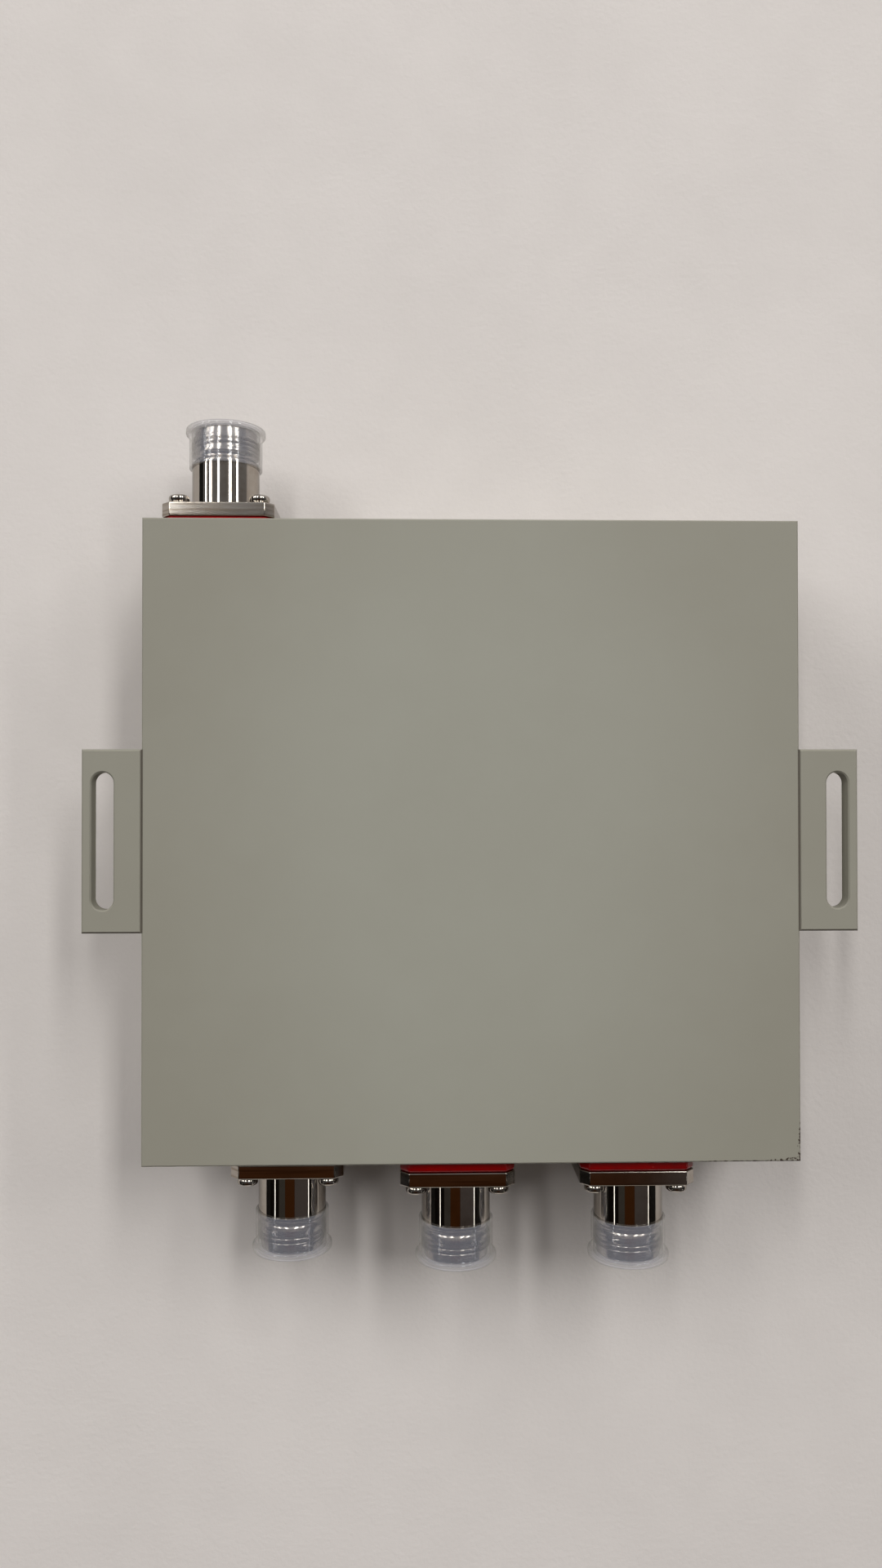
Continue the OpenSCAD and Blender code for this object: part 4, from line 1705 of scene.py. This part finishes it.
@dataclass(frozen=True)
class Fasteners:
    """Sets of screws whose heads show from outside.

    Attributes:
        flange: Pan-head screw of the flanges.
        bracket: Countersunk screw of the brackets.
        cover: Countersunk screw of the cover.
        leg_t: Thickness of a bracket's leg.
        bracket_pitch: Distance between a bracket's screws.
        bracket_drop: Bracket screws below the back face.
        cover_in: Cover screws from the cover's edges.
        cover_counts: Cover screws along X, and between the corners along Y.
        sunk: Countersunk heads below their surface.
        flange_turn: Degrees from one flange screw's recess to the next one's.
        cover_turn: The same for the cover screws.
    """

    flange: Screw = Screw(
        head_r=2.35 * MM, head_h=2.3 * MM, rim_h=1.3 * MM, shank_r=1.25 * MM, length=9.9 * MM,
        drive=Drive.CROSS, drive_w=2.5 * MM, drive_deep=1.1 * MM)
    bracket: Screw = Screw(
        head_r=3.75 * MM, head_h=1.75 * MM, rim_h=0.0, shank_r=2.0 * MM, length=8.45 * MM,
        drive=Drive.HEX, drive_w=2.5 * MM, drive_deep=1.3 * MM)
    cover: Screw = Screw(
        head_r=2.35 * MM, head_h=1.1 * MM, rim_h=0.0, shank_r=1.25 * MM, length=7.15 * MM,
        drive=Drive.CROSS, drive_w=2.4 * MM, drive_deep=0.8 * MM)
    leg_t: float = 4.0 * MM
    bracket_pitch: float = 24.0 * MM
    bracket_drop: float = 12.0 * MM
    cover_in: float = 3.0 * MM
    cover_counts: tuple[int, int] = (4, 2)
    sunk: float = 0.05 * MM
    flange_turn: float = 37.0
    cover_turn: float = 53.0

    def as_driven(self, places: Sequence[Matrix], turn: float) -> list[Matrix]:
        """Turns each screw of a set as its driver left it, by some degrees from one to the next."""
        turns = (math.radians(turn * number) for number in range(len(places)))
        return [place @ Matrix.Rotation(angle, 4, "Z") for place, angle in zip(places, turns)]

    def flange_places(self, ports: Sequence[Port], connector: Connector) -> list[Matrix]:
        """Gives the places of the flange screws on the ports' flanges."""
        places = [port.place @ spot for port in ports for spot in connector.screw_places]
        return self.as_driven(places, self.flange_turn)

    def bracket_places(self) -> list[Matrix]:
        """Gives the places of the bracket screws on the legs' outer faces.

        Returns:
            The places.
        """
        places = []
        for side, node in ((-1, "left_bracket"), (1, "right_bracket")):
            low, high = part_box(node)
            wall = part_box("housing")[1 if side > 0 else 0].x
            face = wall + side * (self.leg_t - self.sunk)
            outwards = Matrix.Rotation(side * QUARTER_TURN, 4, "Y")
            for y in (-self.bracket_pitch / 2, self.bracket_pitch / 2):
                spot = Vector((face, (low.y + high.y) / 2 + y, high.z - self.bracket_drop))
                places.append(Matrix.Translation(spot) @ outwards)
        return places

    def cover_places(self) -> list[Matrix]:
        """Gives the places of the cover screws on the cover's outer face.

        Returns:
            The places.
        """
        low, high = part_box("front_cover")
        half_x = (high.x - low.x) / 2 - self.cover_in
        half_y = (high.y - low.y) / 2 - self.cover_in
        along, between = self.cover_counts
        in_rows = [half_x * (2 * number / (along - 1) - 1) for number in range(along)]
        in_columns = [half_y * (2 * number / (between + 1) - 1) for number in range(1, between + 1)]
        spots = [(x, side * half_y) for side in (-1, 1) for x in in_rows]
        spots += [(side * half_x, y) for side in (-1, 1) for y in in_columns]
        downwards = Matrix.Rotation(math.pi, 4, "X")
        face = low.z + self.sunk
        places = [Matrix.Translation((x, y, face)) @ downwards for x, y in spots]
        return self.as_driven(places, self.cover_turn)

    def dress(self, ports: Sequence[Port], connector: Connector, shop: FinishShop) -> list[Piece]:
        """Puts the three dressed sets of screws in their places.

        Args:
            ports: The ports.
            connector: Sizes of their connectors.
            shop: Gives the pieces their finishes.

        Returns:
            The sets.
        """
        flange_places = self.flange_places(ports, connector)
        sets = (
            ("flange_screws", self.flange, flange_places, Slot.BRIGHT_NICKEL),
            ("bracket_screws", self.bracket, self.bracket_places(), Slot.STEEL),
            ("cover_screws", self.cover, self.cover_places(), Slot.STEEL),
        )
        pieces = []
        for node, screw, places, slot in sets:
            template = screw.build()
            piece = Bench.copies(template, places, f"{node}_visual")
            bpy.data.objects.remove(template)
            shop.settle(piece, slot, ROOT_BODY, node)
            pieces.append(piece)
        return pieces


@dataclass(frozen=True)
class Strip:
    """A long soft lamp along Y, aimed at the object.

    Attributes:
        lean: Angle from straight up towards +X, in degrees.
        spread: Angle that it fills across, in degrees.
        middle: Its middle along Y.
        length: Its length along Y.
        glow: Its brightness.
        tint: Its colour.
    """

    lean: float
    spread: float
    middle: float
    length: float
    glow: float
    tint: tuple[float, float, float] = (1.0, 0.998, 0.985)


class Studio:
    """Floor, lamps, surroundings and camera.

    Attributes:
        FLOOR_SIZE: Side of the square floor.
        LAMP_AWAY: Distance of the lamps from the floor's middle line.
        STRIPS: The lamps.
        FLAGS: Places of the black cards on the floor.
        FLAG_SIZE: Size of a card.
        CAMERA_PLACE: Where the camera is.
        CAMERA_TURN: How it is turned, about X, Y and Z.
        LENS: Its focal length in millimetres.
        SENSOR: Its sensor's longer side in millimetres.
        BACKDROP: Colour of the plain backdrop.
        BACKDROP_TOP: Where the backdrop ends in polished metal, as sines of the height.
        NEAR_GLOW: Colour of the dim room towards -Y.
        FAR_GLOW: Its colour towards +Y.
        ROOM_RANGE: From where to where the room changes between these, along Y.
        FILL_GLOW: Colour of the fill.
        FILL_RANGE: Where the fill starts to fade and where it ends, along Y.
    """

    FLOOR_SIZE = 6.0
    LAMP_AWAY = 3.0
    STRIPS = (
        Strip(-62.5, 4.0, 2.0, 2.7, 10.0),
        Strip(-45.0, 7.5, 2.0, 2.7, 9.6),
        Strip(-17.4, 5.0, 2.0, 2.7, 14.6),
        Strip(21.5, 7.5, 2.0, 2.7, 15.6),
        Strip(46.5, 4.0, 2.0, 2.7, 16.5),
        Strip(-55.0, 1.6, -1.08, 0.5, 5.0),
        Strip(62.0, 1.6, -1.08, 0.5, 5.0),
        Strip(-3.4, 32.0, -1.15, 1.0, 0.046, (1.0, 0.3, 0.05)),
        Strip(-30.0, 21.0, -1.15, 1.0, 0.045, (1.0, 0.93, 0.82)),
        Strip(35.5, 45.0, -1.15, 1.0, 0.07, (1.0, 0.86, 0.82)),
    )
    FLAGS = ((-0.45, -0.24), (0.36, -0.24), (-0.45, 0.2))
    FLAG_SIZE = (2.0 * MM, 0.34, 0.14)
    CAMERA_PLACE = (-13.2 * MM, 9.65 * MM, 289.8 * MM)
    CAMERA_TURN = (0.011, -0.025, -0.001)
    LENS = 26.25
    SENSOR = 36.0
    BACKDROP = srgb(208, 202, 198)
    BACKDROP_TOP = (0.03, 0.16)
    NEAR_GLOW = srgb(16, 12, 9)
    FAR_GLOW = srgb(162, 160, 160)
    ROOM_RANGE = (-0.35, 0.75)
    FILL_GLOW = (0.95, 0.9, 0.84, 1.0)
    FILL_RANGE = (-0.96, -0.84)

    def floor(self, foam: bpy.types.Material) -> None:
        """Lays the floor under the object.

        Args:
            foam: Its material.
        """
        Bench.put_down()
        bpy.ops.mesh.primitive_plane_add(size=self.FLOOR_SIZE, location=(0, 0, CAD_BOX[0].z))
        plane = bpy.context.object
        plane.name = "floor"
        plane.data.materials.append(foam)

    def lamps(self) -> None:
        """Hangs the strip lamps."""
        for number, strip in enumerate(self.STRIPS):
            lean = math.radians(strip.lean)
            place = (self.LAMP_AWAY * math.sin(lean), strip.middle, self.LAMP_AWAY * math.cos(lean))
            bpy.ops.object.light_add(type="AREA", location=place, rotation=(0, lean, 0))
            lamp = bpy.context.object
            lamp.name = f"strip_{number}"
            lamp.visible_camera = False
            light = lamp.data
            light.shape = "RECTANGLE"
            light.size = 2 * self.LAMP_AWAY * math.tan(math.radians(strip.spread / 2))
            light.size_y = strip.length
            light.energy = strip.glow * math.pi * light.size * light.size_y
            light.color = strip.tint

    def flags(self, black: bpy.types.Material) -> None:
        """Stands black cards round the object that only show in polished metal.

        Args:
            black: Their material.
        """
        for number, (x, y) in enumerate(self.FLAGS):
            card = Bench.block(f"flag_{number}", self.FLAG_SIZE, (x, y, self.FLAG_SIZE[2] / 2))
            card.visible_camera = card.visible_diffuse = card.visible_shadow = False
            card.data.materials.append(black)

    def surroundings(self) -> None:
        """Makes a dim room: darker towards -Y, paler towards +Y, with a fill straight from -Y.

        The camera sees a plain pale backdrop instead, and polished metal sees it near the horizon.
        """
        world = bpy.data.worlds.new("room")
        bpy.context.scene.world = world
        world.use_nodes = True
        graph = Graph(world.node_tree)
        _, along, up = graph.split(graph.node("TexCoord").outputs["Generated"])
        room = graph.mix(graph.ramp(along, *self.ROOM_RANGE), self.NEAR_GLOW, self.FAR_GLOW)
        room = graph.mix(graph.within(along, *self.FILL_RANGE), room, self.FILL_GLOW)
        low = graph.within(up, *self.BACKDROP_TOP)
        mirrored = graph.times(graph.rays(Ray.GLOSSY, Ray.TRANSMISSION), low)
        seen = graph.most(graph.rays(Ray.CAMERA), mirrored)
        background = next(node for node in world.node_tree.nodes if node.type == "BACKGROUND")
        graph.feed(background.inputs["Color"], graph.mix(seen, room, self.BACKDROP))

    def camera(self) -> None:
        """Sets up the camera at the photograph's angle."""
        bpy.ops.object.camera_add(location=self.CAMERA_PLACE, rotation=self.CAMERA_TURN)
        eye = bpy.context.object
        eye.data.lens = self.LENS
        eye.data.sensor_width = self.SENSOR
        eye.data.clip_start = MM
        bpy.context.scene.camera = eye
        bpy.context.scene.view_settings.view_transform = "Standard"

    def build(self, foam: bpy.types.Material, black: bpy.types.Material) -> None:
        """Sets up the whole studio.

        Args:
            foam: Material of the floor.
            black: Material of the flags.
        """
        self.floor(foam)
        self.lamps()
        self.flags(black)
        self.surroundings()
        self.camera()


def report(pieces: Sequence[Piece]) -> None:
    """Logs each piece with its finish and its number of faces.

    Args:
        pieces: The pieces.
    """
    for piece in pieces:
        finish = piece.data.materials[0].name
        LOG.info("%s: %s, %d faces", piece.name, finish, len(piece.data.polygons))


def main() -> None:
    """Dresses the frame, builds the sub-assemblies in order and sets up the studio."""
    logging.basicConfig(level=logging.INFO, format="%(name)s: %(message)s")
    shop = FinishShop()
    report(shop.dress_frame())
    ports = Port.find_all()
    connector = Connector()
    report(connector.dress(ports, shop))
    report(DustCap().dress(ports, shop))
    report(Fasteners().dress(ports, connector, shop))
    Studio().build(shop.foam, shop.black)
    Bench.put_down()


if __name__ == "__main__":
    main()
